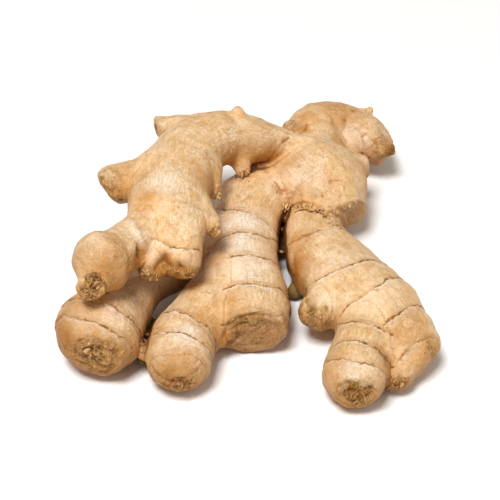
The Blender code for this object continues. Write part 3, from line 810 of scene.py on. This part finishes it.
# %% Press the cracks in
crack = np.zeros(len(points))
for width, depth, brown, *lines in CRACKS:
    for line in lines:
        spots = picked(line)
        beside = np.full(len(points), float(FAR))
        for start, step in zip(spots[:-1], np.diff(spots, axis=0)):
            share = np.clip((points - start) @ step / (step @ step), 0, 1)
            beside = np.minimum(beside, away(start + share[:, None] * step))
        beside = np.abs(beside + 0.9 * jag)
        relief += depth * (0.4 * bell(beside, width, 2.2 * width) - bell(beside, width))
        crack = np.maximum(crack, brown * bell(beside, width))
print("cracked skin:", round(100 * float((crack > 0.3).mean()), 1), "% of the vertices")

# %% [markdown]
# ## Pits
#
# Thin roots grow out between the rings, and where one is pulled off, a small round pit with a raised edge is
# left. The pits are too few and too uneven to be scattered by chance, so they are picked as well.

# %% Pits left by roots
# Each is (across, down, radius in mm, depth in mm).
PITS = [
    (330, 182, 1.5, 0.5), (281, 192, 1.8, 0.5), (345, 120, 1.6, 0.6), (353, 111, 1.3, 0.5),
    (299, 166, 1, 0.3), (330, 207, 1.2, 0.3), (377, 290, 1.2, 0.3), (115, 257, 1, 0.3),
    (322, 196, 1.1, 0.3),
]
pit = np.zeros(len(points))
for spot, _normal, (radius, depth) in marks(PITS):
    out = away(spot) / radius + 0.3 * jag
    pit = np.maximum(pit, bell(out, 1))
    relief += depth * (0.3 * bell(out, 0.5, 1.5) - bell(out, 0.7))
print(len(PITS), "pits")

# %% [markdown]
# ## Creases
#
# Where two fingers meet, the skin gets painted shade: orange, and dark where the crease is narrowest. How far
# a point lies within a crease could be found by casting many rays. The fingers' distances give it in one
# step: from 4 mm above open skin the root is 4 mm away, and from 4 mm above a crease it is nearer than that.

# %% Find the creases and shape the skin
CREASE_REACH = 4.0
# The left finger and the foot lie open to the light, so their creases get only half as much painted shade.
LIT_FINGERS = [finger_number[name] for name in ("left", "foot", "foot_tip")]
above, _rows = place_beside_fingers(points + CREASE_REACH * normals)
crease_shade = np.clip((CREASE_REACH - above) / CREASE_REACH, 0, 1)
crease_shade = np.where(np.isin(nearest, LIT_FINGERS), 0.5 * crease_shade, crease_shade)
own = rows[nearest, np.arange(len(points))]
wrinkle = lumps(own[:, 1:] * (0.22, 0.22, 1), 1.8, 7) * np.clip(0.5 + lumps(points, 12, 8), 0.1, 1)
relief += 0.6 * lumps(points, 12, 1) + 0.38 * lumps(points, 5.5, 2) + 0.16 * lumps(points, 2.6, 3)
relief += 0.15 * clear * wrinkle
write_skin(points + normals * relief[:, None])
print("deepest relief", round(float(relief.min()), 2), "highest", round(float(relief.max()), 2), "mm")


# %% Keep the measurements on the skin for its material
MEASURED = {
    "ring_near": ring_near, "ring_past": ring_past * ring_near, "torn": torn, "groove": groove, "cut": cut,
    "cut_shade": cut_shade, "fringe": fringe, "crack": crack, "pit": pit, "crease_shade": crease_shade, "clear": clear,
    "green": green, "underside_shade": underside_shade, **stains}
for name, values in MEASURED.items():
    layer = skin.data.attributes.new(name, "FLOAT", "POINT")
    layer.data.foreach_set("value", values.astype(np.float32))
# The grain is the place across, up and along the nearest finger.
layer = skin.data.attributes.new("grain", "FLOAT_VECTOR", "POINT")
layer.data.foreach_set("vector", own[:, 1:].astype(np.float32).ravel())
skin.data.polygons.foreach_set("use_smooth", np.ones(len(skin.data.polygons), bool))
print("kept for each vertex:", len(MEASURED), "numbers and the grain")

# %% [markdown]
# ## Helpers for materials
#
# A finish is a small net of nodes. Writing each node in full would bury the idea, so one helper makes a node
# and joins its inputs, and the rest of the script says only what is mixed with what.


# %% Node helpers
def node(tree, kind, inputs=(), **settings):
    """A new node with its settings, and its inputs set or linked by name or number."""
    made = tree.nodes.new(kind)
    for key, value in settings.items():
        setattr(made, key, value)
    for key, value in dict(inputs).items():
        if isinstance(value, bpy.types.NodeSocket):
            tree.links.new(value, made.inputs[key])
        else:
            made.inputs[key].default_value = value
    return made


def sums(tree, operation, a, b=0.0, c=0.0, clamp=False):
    """One sum on numbers."""
    return node(tree, "ShaderNodeMath", {0: a, 1: b, 2: c}, operation=operation, use_clamp=clamp).outputs[0]


def times(tree, a, b):
    """Two numbers multiplied."""
    return sums(tree, "MULTIPLY", a, b)


def stretch(tree, vector, factors):
    """A place with each of its three numbers multiplied."""
    return node(tree, "ShaderNodeVectorMath", {0: vector, 1: factors}, operation="MULTIPLY").outputs[0]


def fade(tree, value, start, end, low=0.0, high=1.0):
    """Low where the value is at start, high where it is at end, and smooth between."""
    made = node(tree, "ShaderNodeMapRange", {0: value, 1: start, 2: end, 3: low, 4: high},
                interpolation_type="SMOOTHSTEP")
    return made.outputs[0]


def blend(tree, share, first, second, way="MIX"):
    """The first colour where the share is 0, the second where it is 1."""
    made = node(tree, "ShaderNodeMix", {0: share, 6: first, 7: second}, data_type="RGBA", blend_type=way)
    return made.outputs[2]


def attribute(tree, name, output="Fac"):
    """A measurement that is kept on the skin."""
    return node(tree, "ShaderNodeAttribute", attribute_name=name).outputs[output]


def cloud(tree, vector, scale, detail=2.0, rough=0.5):
    """Noise between 0 and 1."""
    inputs = {"Vector": vector, "Scale": scale, "Detail": detail, "Roughness": rough}
    return node(tree, "ShaderNodeTexNoise", inputs).outputs["Fac"]


def place_in_mm(tree):
    """The place on the object, in mm."""
    return stretch(tree, node(tree, "ShaderNodeTexCoord").outputs["Object"], (1 / MM, 1 / MM, 1 / MM))


def colour(*screen):
    """A colour as read from a screen, red, green and blue from 0 to 255, as the shader wants it."""
    shares = [v / 255 for v in screen]
    return tuple(v / 12.92 if v <= 0.04 else ((v + 0.055) / 1.055) ** 2.4 for v in shares) + (1,)


print("tan is", [round(v, 2) for v in colour(228, 186, 134)])


# %% Helpers for node groups
def new_group(name, inputs, outputs):
    """An empty node group with named sockets: its tree, its inputs and its output node."""
    tree = bpy.data.node_groups.new(name, "ShaderNodeTree")
    for socket, kind in inputs:
        tree.interface.new_socket(socket, in_out="INPUT", socket_type="NodeSocket" + kind)
    for socket, kind in outputs:
        tree.interface.new_socket(socket, in_out="OUTPUT", socket_type="NodeSocket" + kind)
    return tree, tree.nodes.new("NodeGroupInput").outputs, tree.nodes.new("NodeGroupOutput").inputs


def put_group(tree, group, inputs=()):
    """The outputs of a copy of a group in a material."""
    return node(tree, "ShaderNodeGroup", inputs, node_tree=group).outputs


def give_out(tree, gives, **values):
    """Joins values to the sockets of a group's output."""
    for name, value in values.items():
        tree.links.new(value, gives[name])


print("groups so far:", len(bpy.data.node_groups))

# %% [markdown]
# ## Papery skin
#
# Fresh ginger skin is thin, dry and finely lined along the finger. The lines follow the finger, not the room,
# so the group reads the place across, up and along the finger, and squeezes the noise along it.

# %% Group: long grain
long_grain, given, gives = new_group("long_grain", [("Grain", "Vector"), ("Clear", "Float")],
                                     [("Streak", "Float"), ("Line", "Float"), ("Band", "Float")])
squeezed = stretch(long_grain, given["Grain"], (1, 1, 0.1))
squashed = stretch(long_grain, given["Grain"], (0.2, 0.2, 1))
streak = cloud(long_grain, squeezed, 0.9, 3.0, 0.6)
lines = cloud(long_grain, squeezed, 2.2, 2.0, 0.6)
bands = cloud(long_grain, squashed, 0.75, 3.0, 0.65)
line = fade(long_grain, sums(long_grain, "ABSOLUTE", sums(long_grain, "SUBTRACT", lines, 0.5)), 0.05, 0.0)
band = sums(long_grain, "SUBTRACT", bands, 0.5)
give_out(long_grain, gives, Streak=streak, Line=times(long_grain, line, given["Clear"]),
         Band=times(long_grain, band, given["Clear"]))
print("group:", long_grain.name)

# %% [markdown]
# ## Ring marks
#
# A ring is a thin, ragged brown edge. The skin just before it is browner, and the young skin just past it
# is the palest on the root. The mesh is too coarse for the edge, so the group sharpens it from the kept
# distance.

# %% Group: ring marks
ring_marks, given, gives = new_group(
    "ring_marks", [("Near", "Float"), ("Past", "Float"), ("Place", "Vector")],
    [("Edge", "Float"), ("Before", "Float"), ("After", "Float")])
past = sums(ring_marks, "DIVIDE", given["Past"], sums(ring_marks, "MAXIMUM", given["Near"], 0.02))
ragged = sums(ring_marks, "SUBTRACT", cloud(ring_marks, given["Place"], 0.5, 5.0, 0.75), 0.5)
past = sums(ring_marks, "MULTIPLY_ADD", ragged, 2.6, past)
patchy = fade(ring_marks, cloud(ring_marks, given["Place"], 0.2, 1.0), 0.38, 0.6, 0.15, 1.0)
shown = times(ring_marks, fade(ring_marks, given["Near"], 0.15, 0.75), patchy)
width = fade(ring_marks, cloud(ring_marks, given["Place"], 0.6, 2.0), 0.35, 0.65, 0.16, 0.5)
edge = fade(ring_marks, sums(ring_marks, "DIVIDE", sums(ring_marks, "ABSOLUTE", past), width), 1.0, 0.3)
before = times(ring_marks, fade(ring_marks, past, -2.2, -0.1), fade(ring_marks, past, 0.2, 0.0))
after = times(ring_marks, fade(ring_marks, past, 0.1, 0.5), fade(ring_marks, past, 3.0, 0.6))
give_out(ring_marks, gives, Edge=times(ring_marks, edge, shown),
         Before=times(ring_marks, before, given["Near"]), After=times(ring_marks, after, given["Near"]))
print("group:", ring_marks.name)

# %% [markdown]
# ## Torn tissue
#
# The dry ends are bundles of stringy fibre with dark gaps. One even noise looks like sand there. So one noise
# is stretched into bent threads, and the borders between the cells of another are the gaps that part them.

# %% Group: torn tissue
torn_tissue, given, gives = new_group("torn_tissue", [("Place", "Vector")],
                                      [("Thread", "Float"), ("Gap", "Float")])
warped = node(torn_tissue, "ShaderNodeTexNoise", {"Vector": given["Place"], "Scale": 0.35}).outputs["Color"]
bent = node(torn_tissue, "ShaderNodeVectorMath", {0: warped, 1: (3.0, 3.0, 3.0), 2: given["Place"]},
            operation="MULTIPLY_ADD").outputs[0]
fine = stretch(torn_tissue, bent, (1.0, 1.0, 0.35))
thread = cloud(torn_tissue, fine, 1.7, 4.0, 0.7)
border = node(torn_tissue, "ShaderNodeTexVoronoi", {"Vector": fine, "Scale": 0.6},
              feature="DISTANCE_TO_EDGE").outputs["Distance"]
gap = fade(torn_tissue, sums(torn_tissue, "MULTIPLY_ADD", thread, 0.25, border), 0.24, 0.12)
give_out(torn_tissue, gives, Thread=thread, Gap=gap)
print("group:", torn_tissue.name)

# %% [markdown]
# ## The ginger skin
#
# The colours are layered as they come about: a tan base in soft clouds, pale where the skin is young and as
# painted highlight on some tops, painted shade where the skin faces down, at picked places and in the
# creases, where it is orange and then dark, brown at the rings, pits and torn ends, and a few dark specks of
# soil over all of it. One big formula would hide that, so each coat is a row: where it lies, and its colour.
# A loop lays them in turn.

# %% Start the skin's material
PALE = colour(250, 234, 214)
CREAM = colour(245, 218, 182)
TAN = colour(231, 192, 142)
DEEP_TAN = colour(207, 152, 82)
SHADE = colour(216, 186, 140)
ORANGE = colour(200, 130, 52)
BROWN = colour(158, 98, 36)
DARK = colour(94, 44, 8)
STRAW = colour(222, 164, 86)
LIGHT_STRAW = colour(244, 192, 120)
FLESH = colour(232, 184, 122)
GREY = colour(158, 124, 80)
GREEN = colour(134, 106, 54)

ginger = bpy.data.materials.new("ginger_skin")
ginger.use_nodes = True
tree = ginger.node_tree
shader = tree.nodes["Principled BSDF"]
place = place_in_mm(tree)
kept = {name: attribute(tree, name) for name in MEASURED}
grain = put_group(tree, long_grain, {"Grain": attribute(tree, "grain", "Vector"), "Clear": kept["clear"]})
rings = put_group(tree, ring_marks, {"Near": kept["ring_near"], "Past": kept["ring_past"], "Place": place})
tissue = put_group(tree, torn_tissue, {"Place": place})
broad = fade(tree, cloud(tree, place, 0.06, 2.0), 0.35, 0.65, 0.0, 0.6)
small = cloud(tree, place, 0.3, 4.0, 0.6)
tiny = cloud(tree, place, 1.5, 3.0, 0.7)
peeled = fade(tree, cloud(tree, place, 0.11, 7.0, 0.62), 0.53, 0.56)
specks = fade(tree, cloud(tree, place, 1.3, 2.0, 0.6), 0.64, 0.71, 0.0, 0.55)
print("measurements read from the skin:", len(kept))


# %% Colour the sound skin
def coat(base, coats):
    """The base colour with coats over it. Each is (where it lies, its colour), and a way to mix if given."""
    for share, paint, *way in coats:
        base = blend(tree, share, base, paint, *way)
    return base


# Painted shade: the colour is multiplied by SHADE where the skin faces down and at the painted shade places,
# but not on cut faces.
shaded = sums(tree, "ADD", kept["underside_shade"], kept["painted_shade"], clamp=True)
shaded = sums(tree, "SUBTRACT", shaded, kept["cut"], clamp=True)
sound_skin = coat(TAN, [
    (broad, CREAM),
    (fade(tree, small, 0.42, 0.72, 0.0, 0.58), DEEP_TAN),
    (fade(tree, grain["Streak"], 0.5, 0.68, 0.0, 0.3), DEEP_TAN),
    (fade(tree, grain["Band"], 0.04, 0.2, 0.0, 0.3), DEEP_TAN),
    (fade(tree, tiny, 0.48, 0.7, 0.0, 0.5), DEEP_TAN),
    (fade(tree, grain["Streak"], 0.44, 0.3, 0.0, 0.25), PALE),
    (times(tree, peeled, 0.35), CREAM),
    # Partly pale skin, partly painted highlight.
    (times(tree, kept["pale"], 0.8), PALE),
    (times(tree, rings["After"], 0.45), PALE),
    (times(tree, rings["Before"], 0.5), DEEP_TAN),
    # Painted shade: darker tan where the skin faces down.
    (times(tree, kept["underside_shade"], 0.45), DEEP_TAN),
    # Painted shade: darker tan at the painted shade places.
    (times(tree, kept["painted_shade"], 0.6), DEEP_TAN),
    (shaded, SHADE, "MULTIPLY"),
    (times(tree, kept["bruise"], 0.75), ORANGE),
    # Painted shade in the creases: orange at first, dark where they are narrowest.
    (fade(tree, kept["crease_shade"], 0.1, 0.75, 0.0, 0.5), ORANGE),
    (fade(tree, kept["crease_shade"], 0.6, 0.95, 0.0, 0.9), DARK),
    (times(tree, kept["scuff"], fade(tree, tiny, 0.4, 0.55)), GREY),
    (kept["green"], GREEN)])
print("sound skin:", len(tree.nodes), "nodes so far")

# %% Colour the marks and the torn places
fibre = coat(BROWN, [
    (fade(tree, tissue["Thread"], 0.35, 0.62), STRAW),
    (fade(tree, kept["torn"], 0.45, 0.8, 0.7, 0.0), LIGHT_STRAW),
    (times(tree, tissue["Gap"], 0.32), DARK)])
# Cut faces are dried brown, and the middle's is browner still with painted shade.
dried_and_shaded = sums(tree, "ADD", fade(tree, tiny, 0.36, 0.64, 0.1, 0.9), kept["cut_shade"], clamp=True)
dry_flesh_and_shade = coat(FLESH, [(dried_and_shaded, BROWN)])
cracked = times(tree, fade(tree, kept["crack"], 0.15, 0.75), fade(tree, tiny, 0.3, 0.55, 0.3, 1.0))
torn_here = fade(tree, sums(tree, "ADD", kept["torn"], fade(tree, small, 0.3, 0.7, -0.3, 0.3)), 0.15, 0.95)
look_colour = coat(sound_skin, [
    (times(tree, grain["Line"], 0.13), BROWN),
    (times(tree, rings["Edge"], 0.85), BROWN),
    (times(tree, rings["Edge"], fade(tree, small, 0.45, 0.6, 0.0, 0.3)), DARK),
    (cracked, BROWN),
    (specks, BROWN),
    (fade(tree, kept["pit"], 0.3, 0.95, 0.0, 0.6), BROWN),
    (times(tree, kept["fringe"], 0.5), fibre),
    (times(tree, kept["cut"], fade(tree, small, 0.3, 0.6, 0.6, 1.0)), dry_flesh_and_shade),
    (torn_here, fibre),
    (times(tree, kept["groove"], 0.7), DARK)])
tree.links.new(look_colour, shader.inputs["Base Color"])
print("all colours:", len(tree.nodes), "nodes so far")

# %% Gloss and fine relief
shader.inputs["Specular IOR Level"].default_value = 0.25
sheen = fade(tree, grain["Streak"], 0.3, 0.7, 0.34, 0.52)
tree.links.new(sums(tree, "MULTIPLY_ADD", torn_here, 0.45, sheen), shader.inputs["Roughness"])

fibre_height = sums(tree, "MULTIPLY_ADD", tissue["Gap"], -0.5, times(tree, tissue["Thread"], 1.2))
near_ring = fade(tree, kept["ring_near"], 0.0, 0.5, 0.3, 1.1)
height = 0.0
# Each part of the height is (what it follows, how many mm it rises there).
for part, rise in [(grain["Streak"], 0.3), (grain["Line"], -0.1), (peeled, -0.12), (grain["Band"], near_ring),
                   (small, 0.42), (tiny, 0.2), (rings["Edge"], -0.32), (rings["Before"], 0.2),
                   (fibre_height, torn_here)]:
    height = sums(tree, "MULTIPLY_ADD", part, rise, height)
bump = node(tree, "ShaderNodeBump", {"Height": height, "Strength": 1.0, "Distance": MM})
tree.links.new(bump.outputs["Normal"], shader.inputs["Normal"])
skin.data.materials.append(ginger)
print("material:", ginger.name, "with", len(tree.nodes), "nodes")

# %% [markdown]
# ## Papery flakes
#
# Where a scale tore or a shoot broke off, the dry skin lifts in small curled flakes and threads. They are too
# thin for the squares of the skin. Hair could be scattered there, but it would not leave this program, so one
# flake is modelled once, as a strip that narrows and curls up, and each copy is set on the skin as a mesh.

# %% Model one flake
FLAKE_THICKNESS = 0.1
# Each step of the strip is (how far forward, how far up, how much narrower), in mm.
FLAKE_STEPS = [(0.26, 0.02, 0.95), (0.24, 0.07, 0.85), (0.22, 0.13, 0.55)]


def pick_edges(piece, wanted):
    """Selects the edges of a piece in edit mode whose middle is wanted."""
    net = bmesh.from_edit_mesh(piece.data)
    for edge in net.edges:
        edge.select_set(wanted((edge.verts[0].co + edge.verts[1].co) / 2 / MM))
    net.select_flush_mode()
    bmesh.update_edit_mesh(piece.data)


bpy.ops.object.select_all(action="DESELECT")
bpy.ops.mesh.primitive_plane_add(size=MM)
flake = bpy.context.object
flake.name = "flake_model"
bpy.ops.object.mode_set(mode="EDIT")
bpy.ops.mesh.select_mode(type="EDGE")
bpy.ops.mesh.select_all(action="SELECT")
bpy.ops.transform.resize(value=(1, 0.28, 1))
bpy.ops.mesh.subdivide(number_cuts=1)
bpy.ops.mesh.select_all(action="DESELECT")
pick_edges(flake, lambda middle: middle.y > 0.13)
for forward, up, narrower in FLAKE_STEPS:
    bpy.ops.mesh.extrude_region_move(TRANSFORM_OT_translate={"value": (0, forward * MM, up * MM)})
    bpy.ops.transform.resize(value=(narrower, 1, 1))
pick_edges(flake, lambda middle: abs(middle.x) < 0.01)
bpy.ops.transform.translate(value=(0, 0.03 * MM, 0.12 * MM))
bpy.ops.object.mode_set(mode="OBJECT")
wall = flake.modifiers.new("thickness", "SOLIDIFY")
wall.thickness = FLAKE_THICKNESS * MM
bpy.ops.object.modifier_apply(modifier=wall.name)
print("faces in a flake:", len(flake.data.polygons))

# %% The table of flakes
# Each is (picked places along a line, spread in mm, how many, length in mm, width as a share of the length,
# lift in degrees, the way they point: to the finger's tip, young or old, or out of or round the middle).
FLAKES = [
    ([(284, 205), (292, 207), (300, 208), (310, 208), (320, 210), (326, 215)], 0.7, 80, 3, 0.4, 22, "tip"),
    ([(284, 203), (292, 204), (302, 205), (312, 205), (324, 211)], 1.2, 50, 2.2, 0.3, 30, "tip"),
    ([(84, 284), (85, 291), (92, 293), (99, 289), (103, 282), (97, 279), (88, 280)],
     0.9, 50, 2.2, 0.6, 20, "old"),
    ([(93, 286)], 3, 10, 2, 0.5, 14, "round"),
    ([(143, 273), (150, 279), (158, 277)], 1.8, 14, 1.5, 0.7, 16, "old"),
    ([(180, 274), (188, 277), (196, 273), (201, 266)], 1.8, 18, 1.5, 0.7, 16, "old"),
    ([(161, 271), (169, 270), (177, 273)], 1.8, 8, 1.4, 0.7, 14, "old"),
    ([(213, 232)], 2, 10, 1.6, 0.5, 25, "old"),
    ([(218, 194)], 2, 14, 1.6, 0.5, 22, "tip"),
    ([(245, 172)], 1.8, 10, 1.6, 0.5, 18, "tip"),
    ([(315, 322)], 5.5, 30, 1.3, 0.7, 6, "round"),
    ([(357, 397)], 5, 12, 1.9, 0.5, 3, "round"),
    ([(398, 385)], 3.6, 18, 1.8, 0.5, 18, "old"),
    ([(97, 360)], 6.5, 9, 2.4, 0.5, 2, "round"),
    ([(76, 352)], 2.4, 6, 2.4, 0.4, 8, "round"),
    ([(178, 386), (193, 379)], 3, 12, 1.8, 0.6, 3, "round"),
    ([(143, 349), (146, 343)], 1.6, 12, 1.6, 0.4, 30, "out"),
    ([(228, 326), (236, 319), (246, 316), (258, 315)], 0.6, 16, 1.2, 0.7, 8, "old"),
    ([(229, 343), (238, 340)], 1.4, 8, 1.6, 0.4, 20, "out"),
    ([(326, 214), (331, 224), (341, 231)], 0.8, 16, 1.8, 0.6, 16, "tip"),
    ([(326, 214), (333, 211), (346, 205), (357, 202)], 0.7, 18, 1.6, 0.6, 12, "tip"),
    ([(386, 150)], 1.6, 10, 0.8, 0.8, 4, "old"),
    ([(376, 131), (380, 137), (383, 146)], 0.8, 12, 1, 0.8, 6, "tip"),
    ([(104, 186)], 4, 9, 1.1, 0.6, 4, "round"),
    ([(286, 128)], 2, 6, 1.1, 0.6, 8, "old"),
    ([(156, 129)], 1.6, 6, 1, 0.6, 8, "round"),
    ([(366, 110), (368, 112)], 0.8, 4, 1.2, 0.4, 30, "tip"),
    ([(428, 352)], 3, 6, 1.2, 0.7, 3, "round"),
]
RING_FLAKES = 9
print(sum(row[2] for row in FLAKES), "flakes, and up to", RING_FLAKES, "on each ring")

# %% Set the flakes on the skin
chance = np.random.default_rng(7)
shaped, _normals = read_skin()
shaped_tree = tree_of_skin(shaped)
FLAKE_SINK = 0.12


def growing_way(spot):
    """The way the finger nearest to a point grows."""
    _body, beside = place_beside_fingers(spot[None, :])
    finger = fingers[beside[:, 0, 0].argmin()]
    return finger.along[((finger.centre[:-1] - spot) ** 2).sum(axis=1).argmin()]


def set_flake(spot, heading, length, width, lift, age):
    """One copy of the flake on the skin near a point. Sizes are in mm and degrees, and its age is 0 to 1."""
    foot, out, _face, _far = shaped_tree.find_nearest(Vector(spot))
    ahead = Vector(heading)
    ahead = (ahead - out * ahead.dot(out)).normalized()
    up = out * math.cos(math.radians(lift)) - ahead * math.sin(math.radians(lift))
    ahead = ahead * math.cos(math.radians(lift)) + out * math.sin(math.radians(lift))
    across = ahead.cross(up)
    turned = Matrix((across * width, ahead * length, up * length)).transposed().to_4x4()
    copy = bpy.data.objects.new("flake", flake.data.copy())
    copy.data.transform(Matrix.Translation((foot - out * FLAKE_SINK) * MM) @ turned)
    layer = copy.data.attributes.new("age", "FLOAT", "POINT")
    layer.data.foreach_set("value", np.full(len(copy.data.vertices), age, np.float32))
    bpy.context.scene.collection.objects.link(copy)
    return copy


copies = []
ring_rows = [(picks, 0.3, round(RING_FLAKES * strength), 0.9, 0.8, 10, "tip") for _, strength, picks in RINGS]
for picks, spread, number, length, width, lift, way in FLAKES + ring_rows:
    spots = picked(picks)
    for _ in range(number):
        step = chance.integers(max(1, len(spots) - 1))
        spot = spots[step] + chance.random() * (spots[min(step + 1, len(spots) - 1)] - spots[step])
        spot = spot + spread * chance.uniform(-1, 1, 3)
        heading = growing_way(spot) if way in ("tip", "old") else spot - spots.mean(axis=0)
        if way == "round":
            heading = np.cross(heading, np.array(shaped_tree.find_nearest(Vector(spot))[1]))
        heading = heading / np.linalg.norm(heading) + 0.42 * chance.normal(size=3)
        long = length * chance.uniform(0.5, 1.2)
        age = chance.uniform(0.0, 0.5) + (0.0 if way == "tip" else 0.4)
        copies.append(set_flake(spot, heading, long, long * width * chance.uniform(0.5, 1.4),
                                lift * chance.uniform(0.3, 1.5), age))
bpy.ops.object.select_all(action="DESELECT")
for copy in copies:
    copy.select_set(True)
bpy.context.view_layer.objects.active = copies[0]
bpy.ops.object.join()
flakes = bpy.context.object
flakes.name = "dry_flakes"
bpy.data.objects.remove(flake)
print("flakes:", len(copies), "with", len(flakes.data.polygons), "faces")

# %% [markdown]
# ## A dark sheet in the fork
#
# Low in the fork between the middle and the right finger lies a small sheet, shaped like the rest of an old
# scale leaf, that closes the gap; it is coloured nearly black as painted shade. Both fingers hold it, so it
# starts as a grid that is crumpled by moving its points.

# %% Crumple the sheet in the fork
# Its width, length, thickness and height above the floor in mm, and the place in the picture of its middle.
FORK_SIZE = (13, 25)
FORK_THICKNESS = 0.3
FORK_MIDDLE = (283.5, 233)
FORK_HEIGHT = 7
FORK_TURN = math.radians(-4)
fork_ray = picture_ray(*FORK_MIDDLE)
fork_place = eye + fork_ray * ((FORK_HEIGHT * MM - eye.z) / fork_ray.z)
bpy.ops.object.select_all(action="DESELECT")
bpy.ops.mesh.primitive_grid_add(x_subdivisions=26, y_subdivisions=50, size=MM, location=fork_place)
fork_shade_sheet = bpy.context.object
fork_shade_sheet.name = "fork_shade_sheet"
bpy.ops.object.mode_set(mode="EDIT")
bpy.ops.mesh.select_all(action="SELECT")
bpy.ops.transform.resize(value=(FORK_SIZE[0], FORK_SIZE[1], 1))
bpy.ops.transform.rotate(value=FORK_TURN, orient_axis="Z", center_override=fork_place)
bpy.ops.object.mode_set(mode="OBJECT")
bpy.ops.object.transform_apply(location=True, rotation=True, scale=True)
sheet = np.empty(len(fork_shade_sheet.data.vertices) * 3)
fork_shade_sheet.data.vertices.foreach_get("co", sheet)
sheet = sheet.reshape(-1, 3)
sheet[:, 2] += (1.3 * lumps(sheet / MM * (1, 0.4, 1), 2.2, 51) + 0.5 * lumps(sheet / MM, 0.9, 52)) * MM
fork_shade_sheet.data.vertices.foreach_set("co", sheet.ravel())
wall = fork_shade_sheet.modifiers.new("thickness", "SOLIDIFY")
wall.thickness = FORK_THICKNESS * MM
bpy.ops.object.modifier_apply(modifier=wall.name)
for piece in (flakes, fork_shade_sheet):
    piece.data.polygons.foreach_set("use_smooth", np.ones(len(piece.data.polygons), bool))
print("fork scale at", [round(v / MM, 1) for v in fork_place], "mm")

# %% [markdown]
# ## The dry finishes
#
# Flakes are dead skin: straw to brown, dull, and stringy like the torn ends, so they share the torn tissue
# group with them. The sheet in the fork takes the same finish, nearly black, as painted shade.


# %% Materials: dry flake and painted fork shade
def dry_finish(name, light, dark, share):
    """A dull, stringy finish that goes from light to dark with the age kept on each flake and in streaks.

    The share is how much of the piece has the streaks.
    """
    finish = bpy.data.materials.new(name)
    finish.use_nodes = True
    tree = finish.node_tree
    shader = tree.nodes["Principled BSDF"]
    place = place_in_mm(tree)
    tissue = put_group(tree, torn_tissue, {"Place": place})
    patch = fade(tree, cloud(tree, place, 0.35, 3.0, 0.6), 0.7 - share / 2, 1.0 - share / 2)
    streaks = times(tree, fade(tree, tissue["Thread"], 0.6, 0.35), 0.5)
    worn_look = sums(tree, "ADD", times(tree, patch, streaks), attribute(tree, "age"), clamp=True)
    mix = blend(tree, worn_look, light, dark)
    tree.links.new(mix, shader.inputs["Base Color"])
    tree.links.new(fade(tree, tissue["Thread"], 0.3, 0.7, 0.55, 0.8), shader.inputs["Roughness"])
    shader.inputs["Specular IOR Level"].default_value = 0.3
    bump = node(tree, "ShaderNodeBump", {"Height": tissue["Thread"], "Strength": 0.7, "Distance": 0.4 * MM})
    tree.links.new(bump.outputs["Normal"], shader.inputs["Normal"])
    return finish


flakes.data.materials.clear()
flakes.data.materials.append(dry_finish("dry_flake", colour(230, 190, 134), colour(146, 98, 48), 0.6))
# Painted shade: the sheet in the fork is nearly black to stand for the shade there.
fork_shade_sheet.data.materials.append(dry_finish("fork_shade", colour(90, 54, 24), colour(48, 26, 10), 1.0))
print("materials:", [m.name for m in bpy.data.materials])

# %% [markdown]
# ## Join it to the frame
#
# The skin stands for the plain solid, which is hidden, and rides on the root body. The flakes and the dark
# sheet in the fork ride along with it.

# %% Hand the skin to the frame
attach(skin, "root")
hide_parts("rhizome")
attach(flakes, "root")
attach(fork_shade_sheet, "root")
for piece in (skin, flakes, fork_shade_sheet):
    print("triangles in", piece.name, sum(len(f.vertices) - 2 for f in piece.data.polygons))
